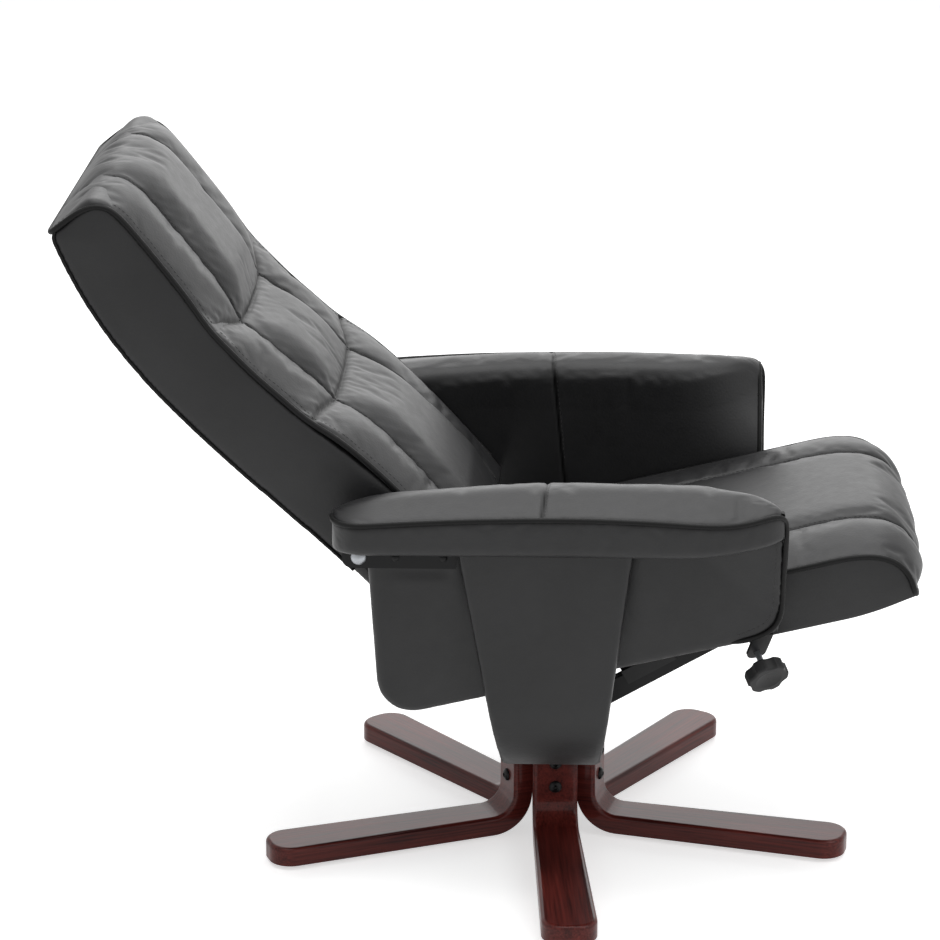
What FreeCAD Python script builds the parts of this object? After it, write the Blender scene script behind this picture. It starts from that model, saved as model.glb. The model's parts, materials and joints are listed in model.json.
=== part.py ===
import FreeCAD, Part
import math
import os

# Swivel recliner in its reclined position: bent-wood star base, U-shaped arm support,
# seat that slides on inclined rails and back that tilts on two side pivots.
# Millimetres and degrees. +X is the way the seat faces, +Y the sitter's left, +Z up,
# and the origin is where the swivel axis meets the floor.

# Star base
leg_count = 5
leg_first_angle = -86.0
leg_reach = 405.0
leg_thickness = 25.0
leg_width_hub = 58.0
leg_width_tip = 73.0
leg_bend = 30.0
leg_tip_round = 30.0
leg_edge_round = 6.0
leg_top = 152.0
glide_height = 6.0
glide_diameter = 30.0
glide_inset = 40.0
hub_flat = 41.0
hub_proud = 4.0
hub_edge_round = 4.0
leg_bolt = 8.0
leg_bolt_head = 17.0
leg_bolt_dome = 5.0
leg_bolt_bite = 14.0
leg_bolt_heights = (79.0, 113.0)

# Swivel bearing
spindle_diameter = 30.0
bush_wall = 4.0
bush_length = 28.0
bush_flange = 4.0
bush_flange_width = 6.0
washer_thickness = 3.0
collar_height = 9.0
collar_diameter = 76.0
clip_thickness = 3.0
clip_depth = 2.0
clip_width = 7.0
spindle_tail = 6.0
plate_thickness = 8.0
plate_length = 116.0
plate_width = 190.0
plate_round = 14.0
plate_bolt = 8.0
plate_bolt_head = 16.0
plate_bolt_dome = 4.5
plate_bolt_inset = 18.0
plate_bolt_bite = 18.0

# Clearances: fixed holes, running fits, and parts that pass each other
hole_gap = 0.2
running_gap = 0.3
pass_gap = 0.5

# Ends of flat bars are rounded by this share of their half width
bar_end = 0.9

# Seat, built level from its rear lower corner and then pitched
seat_width = 504.0
seat_length = 530.0
seat_pitch = 13.4
seat_rear_x = -55.0
seat_rear_z = 287.0
seat_rear_round = 40.0
seat_toe_length = 58.0
seat_toe_rise = 11.0
seat_toe_bend = 380.0
seat_wall = 15.0
seat_board = 15.0
seat_skirt = 43.0
seat_overhang = 11.0
cushion_side = 25.0
cushion_crown = 16.0
cushion_back_round = 18.0
cushion_lip_round = 8.0
cushion_front_round = 32.0
seat_seam = 138.0
seat_seam_half = 40.0
seat_seam_depth = 17.0
seat_front_seam_half = 30.0
seat_front_seam_depth = 12.0

# Arms and the U-shaped support
side_gap = 10.0
panel_thickness = 38.0
panel_front_x = 287.0
panel_front_z = 384.0
panel_rear_x = -233.0
panel_rear_foot_x = -217.0
panel_front_round = 45.0
panel_rear_round = 45.0
panel_edge_round = 9.0
flare_length = 110.0
flare_reach = 33.0
flare_drop = 95.0
flare_root = 14.0
pad_underside = 506.0
pad_width = 110.0
pad_band = 50.0
pad_crest = 577.0
pad_rear_x = -273.0
pad_rear_round = 45.0
pad_front_length = 142.0
pad_front_depth = 34.0
pad_inner_round = 26.0
pad_ridge = 34.0
pad_ridge_round = 30.0
pad_end_steps = 4
pad_lip_round = 10.0
pad_rear_drop = 16.0
pad_front_drop = 12.0
support_thickness = 25.0
support_bend = 115.0
support_top_rear = -119.0
support_top_front = 103.0
support_foot_half = 64.0
support_edge_round = 6.0
support_flare = 240.0

# Recline: the back turns about two side pivots and its rod pushes the seat along the rails
recline_angle = 23.5
seat_travel = 96.0
slide_angle = 30.0
pivot_x = -241.0
pivot_z = 485.0
pivot_bolt = 10.0
pivot_head = 19.0
pivot_dome = 6.0
pivot_nut = 17.0
pivot_nut_height = 8.0
pivot_pocket = 28.0
pivot_pocket_depth = 18.0
pivot_spacer_wall = 2.0
pivot_bush_wall = 3.0
strap_thickness = 5.0
strap_height = 28.0
strap_rear = 21.0
strap_screw = 5.0
strap_screw_head = 10.0
strap_screw_dome = 3.0
strap_screw_bite = 22.0
strap_screw_inset = 16.0
strap_screw_pitch = 60.0

# Back, built upright about its pivots and then leaned
back_lean = 42.8
back_up = 552.0
back_down = 156.0
lumbar_height = 260.0
head_height = 500.0
rear_low = 34.0
rear_lumbar = 54.0
rear_head = 8.0
front_low = 82.0
front_lumbar = 53.0
front_head = 71.0
back_top_round = 28.0
back_corner_round = 14.0
crown_depth = 27.0
crown_inset = 6.0
crown_edge = 1.5
crown_root = 14.0
crown_shoulder = 24.0
bolster_depth = 18.0
bolster_crest = 183.0
back_seam = 120.0
back_seam_depth = 12.0
back_seam_reach = 21.0
lumbar_seam_low = 137.0
lumbar_seam_high = 292.0
cross_seam_reach = 30.0
crown_samples = 200
rear_cover = 4.0
rear_cover_margin = 26.0
rear_cover_round = 34.0
back_arm_thickness = 5.0
back_arm_top = 26.0
back_arm_half = 17.0
back_arm_screw = 6.0
back_arm_screw_head = 12.0
back_arm_screw_dome = 3.2
back_arm_screw_bite = 24.0
back_arm_screw_heights = (-96.0, -50.0)
rod_diameter = 12.0

# Slide rails, runners and slotted brackets under the seat
rail_inset = 54.0
rail_width = 20.0
rail_height = 26.0
rail_wall = 2.5
rail_rear_x = 10.0
rail_length = 238.0
rail_floor_gap = 8.4
foot_thickness = 4.0
foot_width = 42.0
foot_rear_x = 4.0
foot_front_x = 58.0
foot_bolt = 5.0
foot_bolt_head = 9.0
foot_bolt_dome = 3.0
foot_bolt_bite = 18.0
foot_bolt_inset = 5.0
tie_diameter = 16.0
tie_setback = 24.0
shoe_length = 70.0
shoe_start = 111.0
shoe_thickness = 7.0
shoe_cheek = 6.0
shoe_cheek_drop = 12.0
runner_web = 6.0
runner_flange = 4.0
runner_flange_width = 34.0
slot_plate = 6.0
slot_plate_inset = 31.0
slot_plate_rim = 10.0
slot_plate_reach = 62.0
slot_plate_flange = 4.0
slot_plate_flange_width = 28.0
slot_spare = 1.0

# Lock knob under the right arm, whose stud clamps the side of the seat
lock_x = 251.0
lock_rise = 9.0
knob_azimuth = -67.3
knob_dip = 33.7
knob_diameter = 54.0
knob_height = 18.0
knob_lobes = 6
knob_scallop = 34.0
knob_scallop_depth = 3.0
knob_edge_round = 3.0
knob_dish = 3.0
knob_dish_diameter = 34.0
stud_diameter = 8.0
stud_length = 52.0
stud_bite = 10.0
stud_pad = 13.0
stud_pad_height = 3.0
lock_plate = 4.0
lock_plate_width = 26.0
lock_plate_drop = 12.0
lock_plate_setback = 22.0
lock_boss = 18.0
lock_boss_height = 9.0

# Places that follow from the sizes above
seat_half = seat_width / 2
panel_in = seat_half + side_gap
panel_out = panel_in + panel_thickness
leg_face = hub_flat + leg_thickness
leg_outer_bend = leg_bend + leg_thickness
hub_low = glide_height + leg_outer_bend
hub_high = leg_top + hub_proud
spindle_radius = spindle_diameter / 2
bush_bore = spindle_radius + running_gap
bush_radius = bush_bore + bush_wall
bush_rim = bush_radius + bush_flange_width
washer_low = hub_high + bush_flange
collar_low = washer_low + washer_thickness + running_gap
plate_low = collar_low + collar_height
support_low = plate_low + plate_thickness
support_floor = support_low + support_thickness
seat_board_top = seat_skirt + seat_board
rod_radius = rod_diameter / 2
rod_reach = seat_travel / (2 * math.sin(math.radians(recline_angle / 2)))
rod_angle = slide_angle + recline_angle / 2
rod_x = pivot_x + rod_reach * math.sin(math.radians(rod_angle))
rod_z = pivot_z - rod_reach * math.cos(math.radians(rod_angle))
rod_rise = rod_reach * (1 - math.cos(math.radians(recline_angle / 2)))
rail_out = seat_half - rail_inset
rail_in = rail_out - rail_width
slot_plate_out = seat_half - slot_plate_inset
rail_low_z = support_floor + rail_floor_gap
sides = {"right": -1, "left": 1}
near = 0.01

X_AXIS = FreeCAD.Vector(1, 0, 0)
Y_AXIS = FreeCAD.Vector(0, 1, 0)
Z_AXIS = FreeCAD.Vector(0, 0, 1)
ORIGIN = FreeCAD.Vector(0, 0, 0)
PLANES = {
    "XY": (X_AXIS, Y_AXIS, Z_AXIS),
    "XZ": (X_AXIS, Z_AXIS, Y_AXIS),
    "YZ": (Y_AXIS, Z_AXIS, X_AXIS),
}


def rounded_wire(corners, plane):
    """Closed wire through (u, v, radius) corners; each radius becomes a tangent arc."""
    u_axis, v_axis, _ = PLANES[plane]
    points = [u_axis * u + v_axis * v for u, v, _ in corners]
    count = len(points)
    ends = []
    for i, (_, _, radius) in enumerate(corners):
        before = (points[i - 1] - points[i]).normalize()
        after = (points[(i + 1) % count] - points[i]).normalize()
        half = before.getAngle(after) / 2
        run = radius / math.tan(half) if radius else 0
        middle = points[i]
        if radius:
            middle = points[i] + (before + after).normalize() * (radius / math.sin(half) - radius)
        ends.append((points[i] + before * run, middle, points[i] + after * run))
    edges = []
    for i, (start, middle, finish) in enumerate(ends):
        if (finish - start).Length > near:
            edges.append(Part.Arc(start, middle, finish).toShape())
        following = ends[(i + 1) % count][0]
        if (following - finish).Length > near:
            edges.append(Part.LineSegment(finish, following).toShape())
    return Part.Wire(edges)


def prism(plane, corners, start, length):
    """Rounded outline in a plane, extruded along the plane's normal from start."""
    normal = PLANES[plane][2]
    face = Part.Face(rounded_wire(corners, plane))
    face.translate(normal * start)
    return face.extrude(normal * length)


def slab(low, high):
    """Box between two corners."""
    low = FreeCAD.Vector(*low)
    size = FreeCAD.Vector(*high) - low
    return Part.makeBox(size.x, size.y, size.z, low)


def turned(profile):
    """Solid of revolution about Z from (radius, height) corners."""
    points = [FreeCAD.Vector(radius, 0, height) for radius, height in profile]
    return Part.Face(Part.makePolygon(points + points[:1])).revolve(ORIGIN, Z_AXIS, 360)


def ring(inner, outer, low, high):
    return turned([(inner, low), (outer, low), (outer, high), (inner, high)])


def aimed(shape, place, direction):
    """Turn a shape from +Z to a direction and move its origin to a place."""
    shape = shape.copy()
    shape.Placement = FreeCAD.Placement(place, FreeCAD.Rotation(Z_AXIS, direction))
    return shape


def rod(diameter, start, direction, length):
    return Part.makeCylinder(diameter / 2, length, start, direction)


def dome_bolt(diameter, head, dome, length):
    """Domed bolt: the head stands on the XY plane, the shank goes down."""
    half = head / 2
    rim = dome / 4
    cap = dome - rim
    ball = (half ** 2 + cap ** 2) / (2 * cap)
    turn = math.asin(half / ball) / 2
    shoulder = FreeCAD.Vector(ball * math.sin(turn), 0, dome - ball + ball * math.cos(turn))
    top = FreeCAD.Vector(0, 0, dome)
    arc = Part.Arc(FreeCAD.Vector(half, 0, rim), shoulder, top).toShape()
    outline = Part.makePolygon([
        top, FreeCAD.Vector(0, 0, -length),
        FreeCAD.Vector(diameter / 2, 0, -length), FreeCAD.Vector(diameter / 2, 0, 0),
        FreeCAD.Vector(half, 0, 0), FreeCAD.Vector(half, 0, rim),
    ])
    return Part.Face(Part.Wire(outline.Edges + [arc])).revolve(ORIGIN, Z_AXIS, 360)


def mirrored(shape):
    return shape.mirror(ORIGIN, Y_AXIS)


def on_side(shape, side):
    """A shape modelled at +Y goes to the left; its mirror image to the right."""
    return shape if side > 0 else mirrored(shape)


def leg_angles():
    return [leg_first_angle + i * 360 / leg_count for i in range(leg_count)]


def turned_about_swivel(shape, angle):
    shape = shape.copy()
    shape.rotate(ORIGIN, Z_AXIS, angle)
    return shape


def outer_leg_edges(leg):
    """Edges that bound the upper face, the bend and the outer face of a leg."""
    high = glide_height + leg_thickness
    bend_x = leg_face + leg_bend
    bend_z = high + leg_bend

    def shows(point):
        if point.x < bend_x and point.z < bend_z:
            return abs(math.hypot(point.x - bend_x, point.z - bend_z) - leg_bend) < near
        return abs(point.z - high) < near or abs(point.x - leg_face) < near

    chosen = []
    for edge in leg.Edges:
        first, last = edge.ParameterRange
        places = [edge.valueAt(first + (last - first) * share) for share in (0.01, 0.5, 0.99)]
        across = all(abs(p.y) < leg_width_hub / 2 - near for p in places[:1] + places[2:])
        if all(shows(p) for p in places) and not across:
            chosen.append(edge)
    return chosen


def base_leg(angle):
    """Bent laminated leg: flat along the floor, turned up against a flat of the hub."""
    high = glide_height + leg_thickness
    strip = prism("XZ", [
        (hub_flat, glide_height, leg_outer_bend),
        (leg_reach, glide_height, 0),
        (leg_reach, high, 0),
        (leg_face, high, leg_bend),
        (leg_face, leg_top, 0),
        (hub_flat, leg_top, 0),
    ], -leg_width_tip, 2 * leg_width_tip)
    plan = prism("XY", [
        (0, -leg_width_hub / 2, 0),
        (leg_reach, -leg_width_tip / 2, leg_tip_round),
        (leg_reach, leg_width_tip / 2, leg_tip_round),
        (0, leg_width_hub / 2, 0),
    ], 0, leg_top)
    leg = strip.common(plan).Solids[0]
    leg = leg.makeFillet(leg_edge_round, outer_leg_edges(leg))
    for height in leg_bolt_heights:
        place = FreeCAD.Vector(0, 0, height)
        leg = leg.cut(rod(leg_bolt + 2 * hole_gap, place, X_AXIS, leg_reach))
    return turned_about_swivel(leg, angle)


def leg_bolts():
    bolt = dome_bolt(leg_bolt, leg_bolt_head, leg_bolt_dome, leg_thickness + leg_bolt_bite)
    group = []
    for angle in leg_angles():
        for height in leg_bolt_heights:
            placed = aimed(bolt, FreeCAD.Vector(leg_face, 0, height), X_AXIS)
            group.append(turned_about_swivel(placed, angle))
    return Part.makeCompound(group)


def floor_glides():
    """Round glides under the leg tips, with a small chamfer at the floor."""
    radius = glide_diameter / 2
    chamfer = glide_height / 4
    glide = turned([
        (0, 0), (radius - chamfer, 0), (radius, chamfer), (radius, glide_height), (0, glide_height),
    ])
    glide.translate(X_AXIS * (leg_reach - glide_inset))
    return Part.makeCompound([turned_about_swivel(glide, angle) for angle in leg_angles()])


def hub_housing():
    """Five-sided hub with a stepped bore for the bushes and holes for the leg bolts."""
    corner = hub_flat / math.cos(math.pi / leg_count)
    outline = []
    for angle in leg_angles():
        turn = math.radians(angle + 180 / leg_count)
        outline.append((corner * math.cos(turn), corner * math.sin(turn), hub_edge_round))
    hub = prism("XY", outline, hub_low, hub_high - hub_low)
    relief = bush_bore + bush_wall / 2
    hub = hub.cut(ring(0, relief, hub_low, hub_high))
    hub = hub.cut(ring(0, bush_radius, hub_low, hub_low + bush_length))
    hub = hub.cut(ring(0, bush_radius, hub_high - bush_length, hub_high))
    for angle in leg_angles():
        for height in leg_bolt_heights:
            start = FreeCAD.Vector(hub_flat - leg_bolt_bite - hole_gap, 0, height)
            hole = rod(leg_bolt + hole_gap, start, X_AXIS, leg_bolt_bite + leg_thickness)
            hub = hub.cut(turned_about_swivel(hole, angle))
    return hub


def bearing_bush(low, flange_up):
    """Flanged sleeve in the hub; the flange stands on the hub's end face."""
    sleeve = ring(bush_bore, bush_radius, low, low + bush_length)
    edge = low + bush_length if flange_up else low - bush_flange
    return sleeve.fuse(ring(bush_bore, bush_rim, edge, edge + bush_flange)).removeSplitter()


def clip_low():
    return hub_low - bush_flange - running_gap - clip_thickness


def swivel_spindle():
    """Upright shaft with the collar that the plate is welded to, grooved for its clip."""
    low = clip_low() - spindle_tail
    shaft = turned([
        (0, low), (spindle_radius, low), (spindle_radius, collar_low),
        (collar_diameter / 2, collar_low), (collar_diameter / 2, plate_low), (0, plate_low),
    ])
    groove = ring(spindle_radius - clip_depth, spindle_diameter, clip_low(), clip_low() + clip_thickness)
    return shaft.cut(groove)


def spindle_clip():
    return ring(spindle_radius - clip_depth, spindle_radius + clip_width, clip_low(),
                clip_low() + clip_thickness)


def thrust_washer():
    return ring(bush_bore, collar_diameter / 2, washer_low, washer_low + washer_thickness)


def plate_bolt_places():
    x = plate_length / 2 - plate_bolt_inset
    y = plate_width / 2 - plate_bolt_inset
    return [FreeCAD.Vector(i * x, j * y, plate_low) for i in (-1, 1) for j in (-1, 1)]


def swivel_plate():
    x = plate_length / 2
    y = plate_width / 2
    corners = [(-x, -y), (x, -y), (x, y), (-x, y)]
    outline = [(u, v, plate_round) for u, v in corners]
    plate = prism("XY", outline, plate_low, plate_thickness)
    for place in plate_bolt_places():
        plate = plate.cut(rod(plate_bolt + 2 * hole_gap, place, Z_AXIS, plate_thickness))
    return plate


def plate_bolts():
    bolt = dome_bolt(plate_bolt, plate_bolt_head, plate_bolt_dome, plate_thickness + plate_bolt_bite)
    return Part.makeCompound([aimed(bolt, place, -Z_AXIS) for place in plate_bolt_places()])


def support_section(half, low, bend):
    return [(-half, low, bend), (half, low, bend), (half, pad_underside, 0), (-half, pad_underside, 0)]


def arm_support():
    """Padded bent-ply U that rises from the swivel plate to both arms and widens upwards."""
    outer = panel_out + support_thickness
    reach = max(support_top_front, -support_top_rear)
    strip = prism("YZ", support_section(outer, support_low, support_bend), -reach, 2 * reach)
    strip = strip.cut(prism(
        "YZ", support_section(panel_out, support_floor, support_bend - support_thickness),
        -reach, 2 * reach))
    taper = prism("XZ", [
        (-support_foot_half, support_low, 0),
        (support_foot_half, support_low, 0),
        (support_foot_half, support_floor, support_flare),
        (support_top_front, pad_underside, 0),
        (support_top_rear, pad_underside, 0),
        (-support_foot_half, support_floor, support_flare),
    ], -outer, 2 * outer)
    support = strip.common(taper).Solids[0]
    rims = [e for e in support.Edges if on_taper(e) and abs(e.CenterOfMass.z - pad_underside) > 1]
    support = support.makeFillet(support_edge_round, rims)
    for place in plate_bolt_places():
        support = support.cut(rod(plate_bolt + hole_gap, place, Z_AXIS,
                                  plate_thickness + plate_bolt_bite + hole_gap))
    for side in sides.values():
        for place in foot_bolt_places():
            hole = rod(foot_bolt + hole_gap, place, -Z_AXIS, foot_thickness + foot_bolt_bite + hole_gap)
            support = support.cut(on_side(hole, side))
    return support


def on_taper(edge):
    """True for the long rims where the U meets its tapered front and rear faces."""
    return abs(edge.CenterOfMass.x) > support_foot_half / 2 and edge.Length > support_thickness * 1.5


def panel_outline():
    drop = (panel_front_x - panel_rear_foot_x) * math.tan(math.radians(seat_pitch))
    return [
        (panel_rear_x, pad_underside, 0),
        (panel_rear_foot_x, panel_front_z - drop, panel_rear_round),
        (panel_front_x, panel_front_z, panel_front_round),
        (panel_front_x, pad_underside, 0),
    ]


def panel_flare():
    """Wedge by which the panel's front spreads outward under the pad."""
    def section(x, share):
        root = panel_out - flare_root
        reach = flare_root + flare_reach * share
        corners = [(root, pad_underside), (root + reach, pad_underside),
                   (root, pad_underside - flare_drop * (flare_root / flare_reach + share))]
        points = [FreeCAD.Vector(x, y, z) for y, z in corners]
        return Part.makePolygon(points + points[:1])
    return Part.makeLoft([section(panel_front_x, 1), section(panel_front_x - flare_length, 0)], True, True)


def arm_panel(side):
    """Upholstered side panel inside the support, rounded along its free edges."""
    panel = prism("XZ", panel_outline(), panel_in, panel_thickness)
    free = []
    for edge in panel.Edges:
        low, high = edge.BoundBox.YMin, edge.BoundBox.YMax
        if high - low < 1 and edge.BoundBox.ZMin < pad_underside - 1:
            free.append(edge)
    panel = panel.makeFillet(panel_edge_round, free).fuse(panel_flare()).removeSplitter()
    for place in strap_screw_places():
        panel = panel.cut(rod(strap_screw + hole_gap, place, -Y_AXIS,
                              strap_thickness + strap_screw_bite + hole_gap))
    return on_side(panel, side)


def pad_stations():
    """(x, outer edge) along the pad: round at the rear, sweeping in at the front, straight between."""
    outer = panel_in + pad_width
    stations = []
    for step in range(pad_end_steps + 1):
        turn = math.pi / 2 * step / pad_end_steps
        stations.append((pad_rear_x + pad_rear_round * (1 - math.cos(turn)),
                         outer - pad_rear_round * (1 - math.sin(turn))))
    for step in range(pad_end_steps, -1, -1):
        turn = math.pi / 2 * step / pad_end_steps
        stations.append((panel_front_x - pad_front_length * (1 - math.cos(turn)),
                         outer - pad_front_depth * (1 - math.sin(turn))))
    return stations


def pad_section(x, outer):
    """Closed section of the pad at x; the crest arches down towards both ends."""
    middle = (panel_front_x + pad_rear_x) / 2
    share = (x - middle) / (panel_front_x - middle)
    drop = (pad_front_drop if share > 0 else pad_rear_drop) * share ** 2
    wire = rounded_wire([
        (panel_in, pad_underside, 0),
        (outer, pad_underside, pad_lip_round),
        (outer, pad_underside + pad_band - drop, pad_lip_round),
        (panel_in + pad_ridge, pad_crest - drop, pad_ridge_round),
        (panel_in, pad_crest - drop, pad_inner_round),
    ], "YZ")
    wire.translate(X_AXIS * x)
    return wire


def arm_pad(side):
    """Pad that rolls outward over the panel, lofted along the arm."""
    sections = [pad_section(x, outer) for x, outer in pad_stations()]
    return on_side(Part.makeLoft(sections, True, True), side)


def pivot_place(y):
    return FreeCAD.Vector(pivot_x, y, pivot_z)


def strap_screw_places():
    first = support_top_rear - strap_screw_inset
    y = panel_out + strap_thickness
    return [FreeCAD.Vector(first - i * strap_screw_pitch, y, pivot_z) for i in range(2)]


def pivot_strap(side):
    """Flat steel strap on the outside of a panel that carries the pivot behind it."""
    half = strap_height / 2
    rear = pivot_x - strap_rear
    front = support_top_rear - pass_gap
    strap = prism("XZ", [
        (rear, pivot_z - half, half * bar_end),
        (front, pivot_z - half, 0),
        (front, pivot_z + half, 0),
        (rear, pivot_z + half, half * bar_end),
    ], panel_out, strap_thickness)
    strap = strap.cut(rod(pivot_bolt + 2 * hole_gap, pivot_place(panel_out), Y_AXIS, strap_thickness))
    for place in strap_screw_places():
        strap = strap.cut(rod(strap_screw + 2 * hole_gap, place, -Y_AXIS, strap_thickness))
    return on_side(strap, side)


def strap_screws():
    screw = dome_bolt(strap_screw, strap_screw_head, strap_screw_dome, strap_thickness + strap_screw_bite)
    group = []
    for side in sides.values():
        group += [on_side(aimed(screw, place, Y_AXIS), side) for place in strap_screw_places()]
    return Part.makeCompound(group)


def pivot_bolt_piece(side):
    length = panel_out + strap_thickness - (seat_half - pivot_pocket_depth + running_gap)
    bolt = dome_bolt(pivot_bolt, pivot_head, pivot_dome, length)
    return on_side(aimed(bolt, pivot_place(panel_out + strap_thickness), Y_AXIS), side)


def pivot_spacer(side):
    """Tube round the bolt between the strap and the back's arm."""
    bore = pivot_bolt / 2 + hole_gap
    start = seat_half + back_arm_thickness + running_gap
    tube = ring(bore, bore + pivot_spacer_wall, 0, panel_out - start)
    return on_side(aimed(tube, pivot_place(start), Y_AXIS), side)


def nut_start():
    return seat_half - running_gap - pivot_nut_height


def pivot_nut_piece(side):
    """Hexagon nut on the bolt's end, inside the pocket of the back."""
    corner = pivot_nut / 2 / math.cos(math.pi / 6)
    outline = []
    for i in range(6):
        turn = math.radians(60 * i)
        outline.append((corner * math.cos(turn), corner * math.sin(turn), 0))
    nut = prism("XY", outline, 0, pivot_nut_height)
    nut = nut.cut(rod(pivot_bolt + hole_gap, ORIGIN, Z_AXIS, pivot_nut_height))
    return on_side(aimed(nut, pivot_place(nut_start()), Y_AXIS), side)


def leaned(shape):
    """From the back's own upright frame to its place on the pivots, reclined."""
    shape = shape.copy()
    shape.rotate(ORIGIN, Y_AXIS, -back_lean)
    shape.translate(FreeCAD.Vector(pivot_x, 0, pivot_z))
    return shape


def curve(points):
    """Smooth edge through (x, z) points."""
    spline = Part.BSplineCurve()
    spline.interpolate([FreeCAD.Vector(x, 0, z) for x, z in points])
    return spline.toShape()


def line(start, finish):
    return Part.LineSegment(FreeCAD.Vector(start[0], 0, start[1]),
                            FreeCAD.Vector(finish[0], 0, finish[1])).toShape()


def back_front_line():
    """Front of the back's side outline, from its foot to its shoulder."""
    return [(front_low, -back_down), (front_low, 0), (front_lumbar, lumbar_height),
            (front_head, head_height), (front_head, back_up - back_top_round)]


def back_blank():
    """Side outline of the back, hollowed at the lumbar, extruded over its width."""
    rear = [(-rear_low, -back_down), (-rear_low, 0), (-rear_lumbar, lumbar_height),
            (-rear_head, back_up)]
    shoulder = back_up - back_top_round
    front = back_front_line()
    top_corner = FreeCAD.Vector(front_head - back_top_round, 0, back_up)
    roll = back_top_round * math.sqrt(0.5)
    roll_middle = FreeCAD.Vector(front_head - back_top_round + roll, 0, shoulder + roll)
    round_edge = Part.Arc(FreeCAD.Vector(front_head, 0, shoulder), roll_middle, top_corner).toShape()
    top = line((top_corner.x, back_up), rear[-1])
    wire = Part.Wire([curve(front), round_edge, top, curve(list(reversed(rear))), line(rear[0], front[0])])
    face = Part.Face(wire)
    face.translate(Y_AXIS * -seat_half)
    return face.extrude(Y_AXIS * seat_width)


def front_view(half, low, high, corner):
    """Prism along X with the back's front view: square below, rounded at the top."""
    reach = front_low + rear_lumbar + crown_depth
    return prism("YZ", [(-half, low, 0), (half, low, 0), (half, high, corner), (-half, high, corner)],
                 -reach, 2 * reach)


def back_cover_blank():
    """Rear skin of the back, as thick as the cover panel and inside its margin."""
    blank = back_blank()
    inner = blank.copy()
    inner.translate(X_AXIS * rear_cover)
    window = front_view(seat_half - rear_cover_margin, -back_down + rear_cover_margin,
                        back_up - rear_cover_margin, rear_cover_round)
    return blank.cut(inner).common(window)


def back_shell():
    """Upholstered body of the back with pockets for the pivot nuts and a rebate for the cover."""
    shell = back_blank().common(front_view(seat_half, -back_down, back_up, back_corner_round))
    shell = shell.cut(back_cover_blank())
    for side in sides.values():
        pocket = rod(pivot_pocket, Y_AXIS * (seat_half - pivot_pocket_depth), Y_AXIS, pivot_pocket_depth)
        shell = shell.cut(on_side(pocket, side))
        for place in back_screw_places():
            hole = rod(back_arm_screw + hole_gap, place, -Y_AXIS,
                       back_arm_thickness + back_arm_screw_bite + hole_gap)
            shell = shell.cut(on_side(hole, side))
    return leaned(shell)


def on_back_front(height):
    """Point of the back's front line at a height, and the way out of it."""
    points = curve(back_front_line()).discretize(crown_samples)
    low, high = next(pair for pair in zip(points, points[1:]) if pair[1].z >= height)
    run = high - low
    place = low + run * ((height - low.z) / run.z)
    run.normalize()
    return place, FreeCAD.Vector(run.z, 0, -run.x)


def back_pad_stations():
    """(place, way out, fullness) along the pad: full between its cross seams, thin over the head."""
    reach = cross_seam_reach
    middle = (lumbar_seam_low + lumbar_seam_high) / 2
    neck = (lumbar_seam_high + head_height) / 2
    stations = []
    for height, fullness in (
        (-back_down, 0.35), (0, 0.9), (lumbar_seam_low - reach, 0.85), (lumbar_seam_low, 0.2),
        (lumbar_seam_low + reach, 0.85), (middle, 1.0), (lumbar_seam_high - reach, 0.85),
        (lumbar_seam_high, 0.2), (lumbar_seam_high + reach, 0.85), (neck, 1.0), (head_height, 0.85),
    ):
        stations.append((*on_back_front(height), fullness))
    centre = FreeCAD.Vector(front_head - back_top_round, 0, back_up - back_top_round)
    for degrees, fullness in ((15, 0.7), (45, 0.5), (75, 0.35)):
        turn = math.radians(degrees)
        way = FreeCAD.Vector(math.cos(turn), 0, math.sin(turn))
        stations.append((centre + way * back_top_round, way, fullness))
    for x, fullness in ((centre.x / 2, 0.2), (-rear_head, 0.05)):
        stations.append((FreeCAD.Vector(x, 0, back_up), Z_AXIS, fullness))
    return stations


def back_pad_section(place, way, fullness):
    """Closed section of the pad: a middle roll and two side bolsters between the seams."""
    half = seat_half - crown_inset
    side = [
        (half, crown_edge),
        (half - crown_shoulder, bolster_depth * fullness * 2 / 3),
        (bolster_crest, bolster_depth * fullness),
        (back_seam + back_seam_reach, (back_seam_depth + bolster_depth) / 2 * fullness),
        (back_seam, back_seam_depth * fullness),
        (back_seam - back_seam_reach, (back_seam_depth + crown_depth) / 2 * fullness),
        (back_seam / 2, crown_depth * fullness),
    ]
    outline = [(-y, lift) for y, lift in side] + side[::-1] + [(half, -crown_root), (-half, -crown_root)]
    points = [place + Y_AXIS * y + way * lift for y, lift in outline]
    return Part.makePolygon(points + points[:1])


def back_cushion():
    """Quilted front pad that also rolls over the head of the back, lofted along it."""
    pad = Part.makeLoft([back_pad_section(*station) for station in back_pad_stations()], True, True)
    pad = pad.cut(back_blank())
    return leaned(max(pad.Solids, key=lambda solid: solid.Volume))


def back_rear_cover():
    return leaned(back_cover_blank().Solids[0])


def back_screw_places():
    y = seat_half + back_arm_thickness
    return [FreeCAD.Vector(0, y, height) for height in back_arm_screw_heights]


def rod_in_back():
    """The push rod's (x, z) in the back's own upright frame."""
    turn = math.radians(back_lean - rod_angle)
    return -rod_reach * math.sin(turn), -rod_reach * math.cos(turn)


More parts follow.
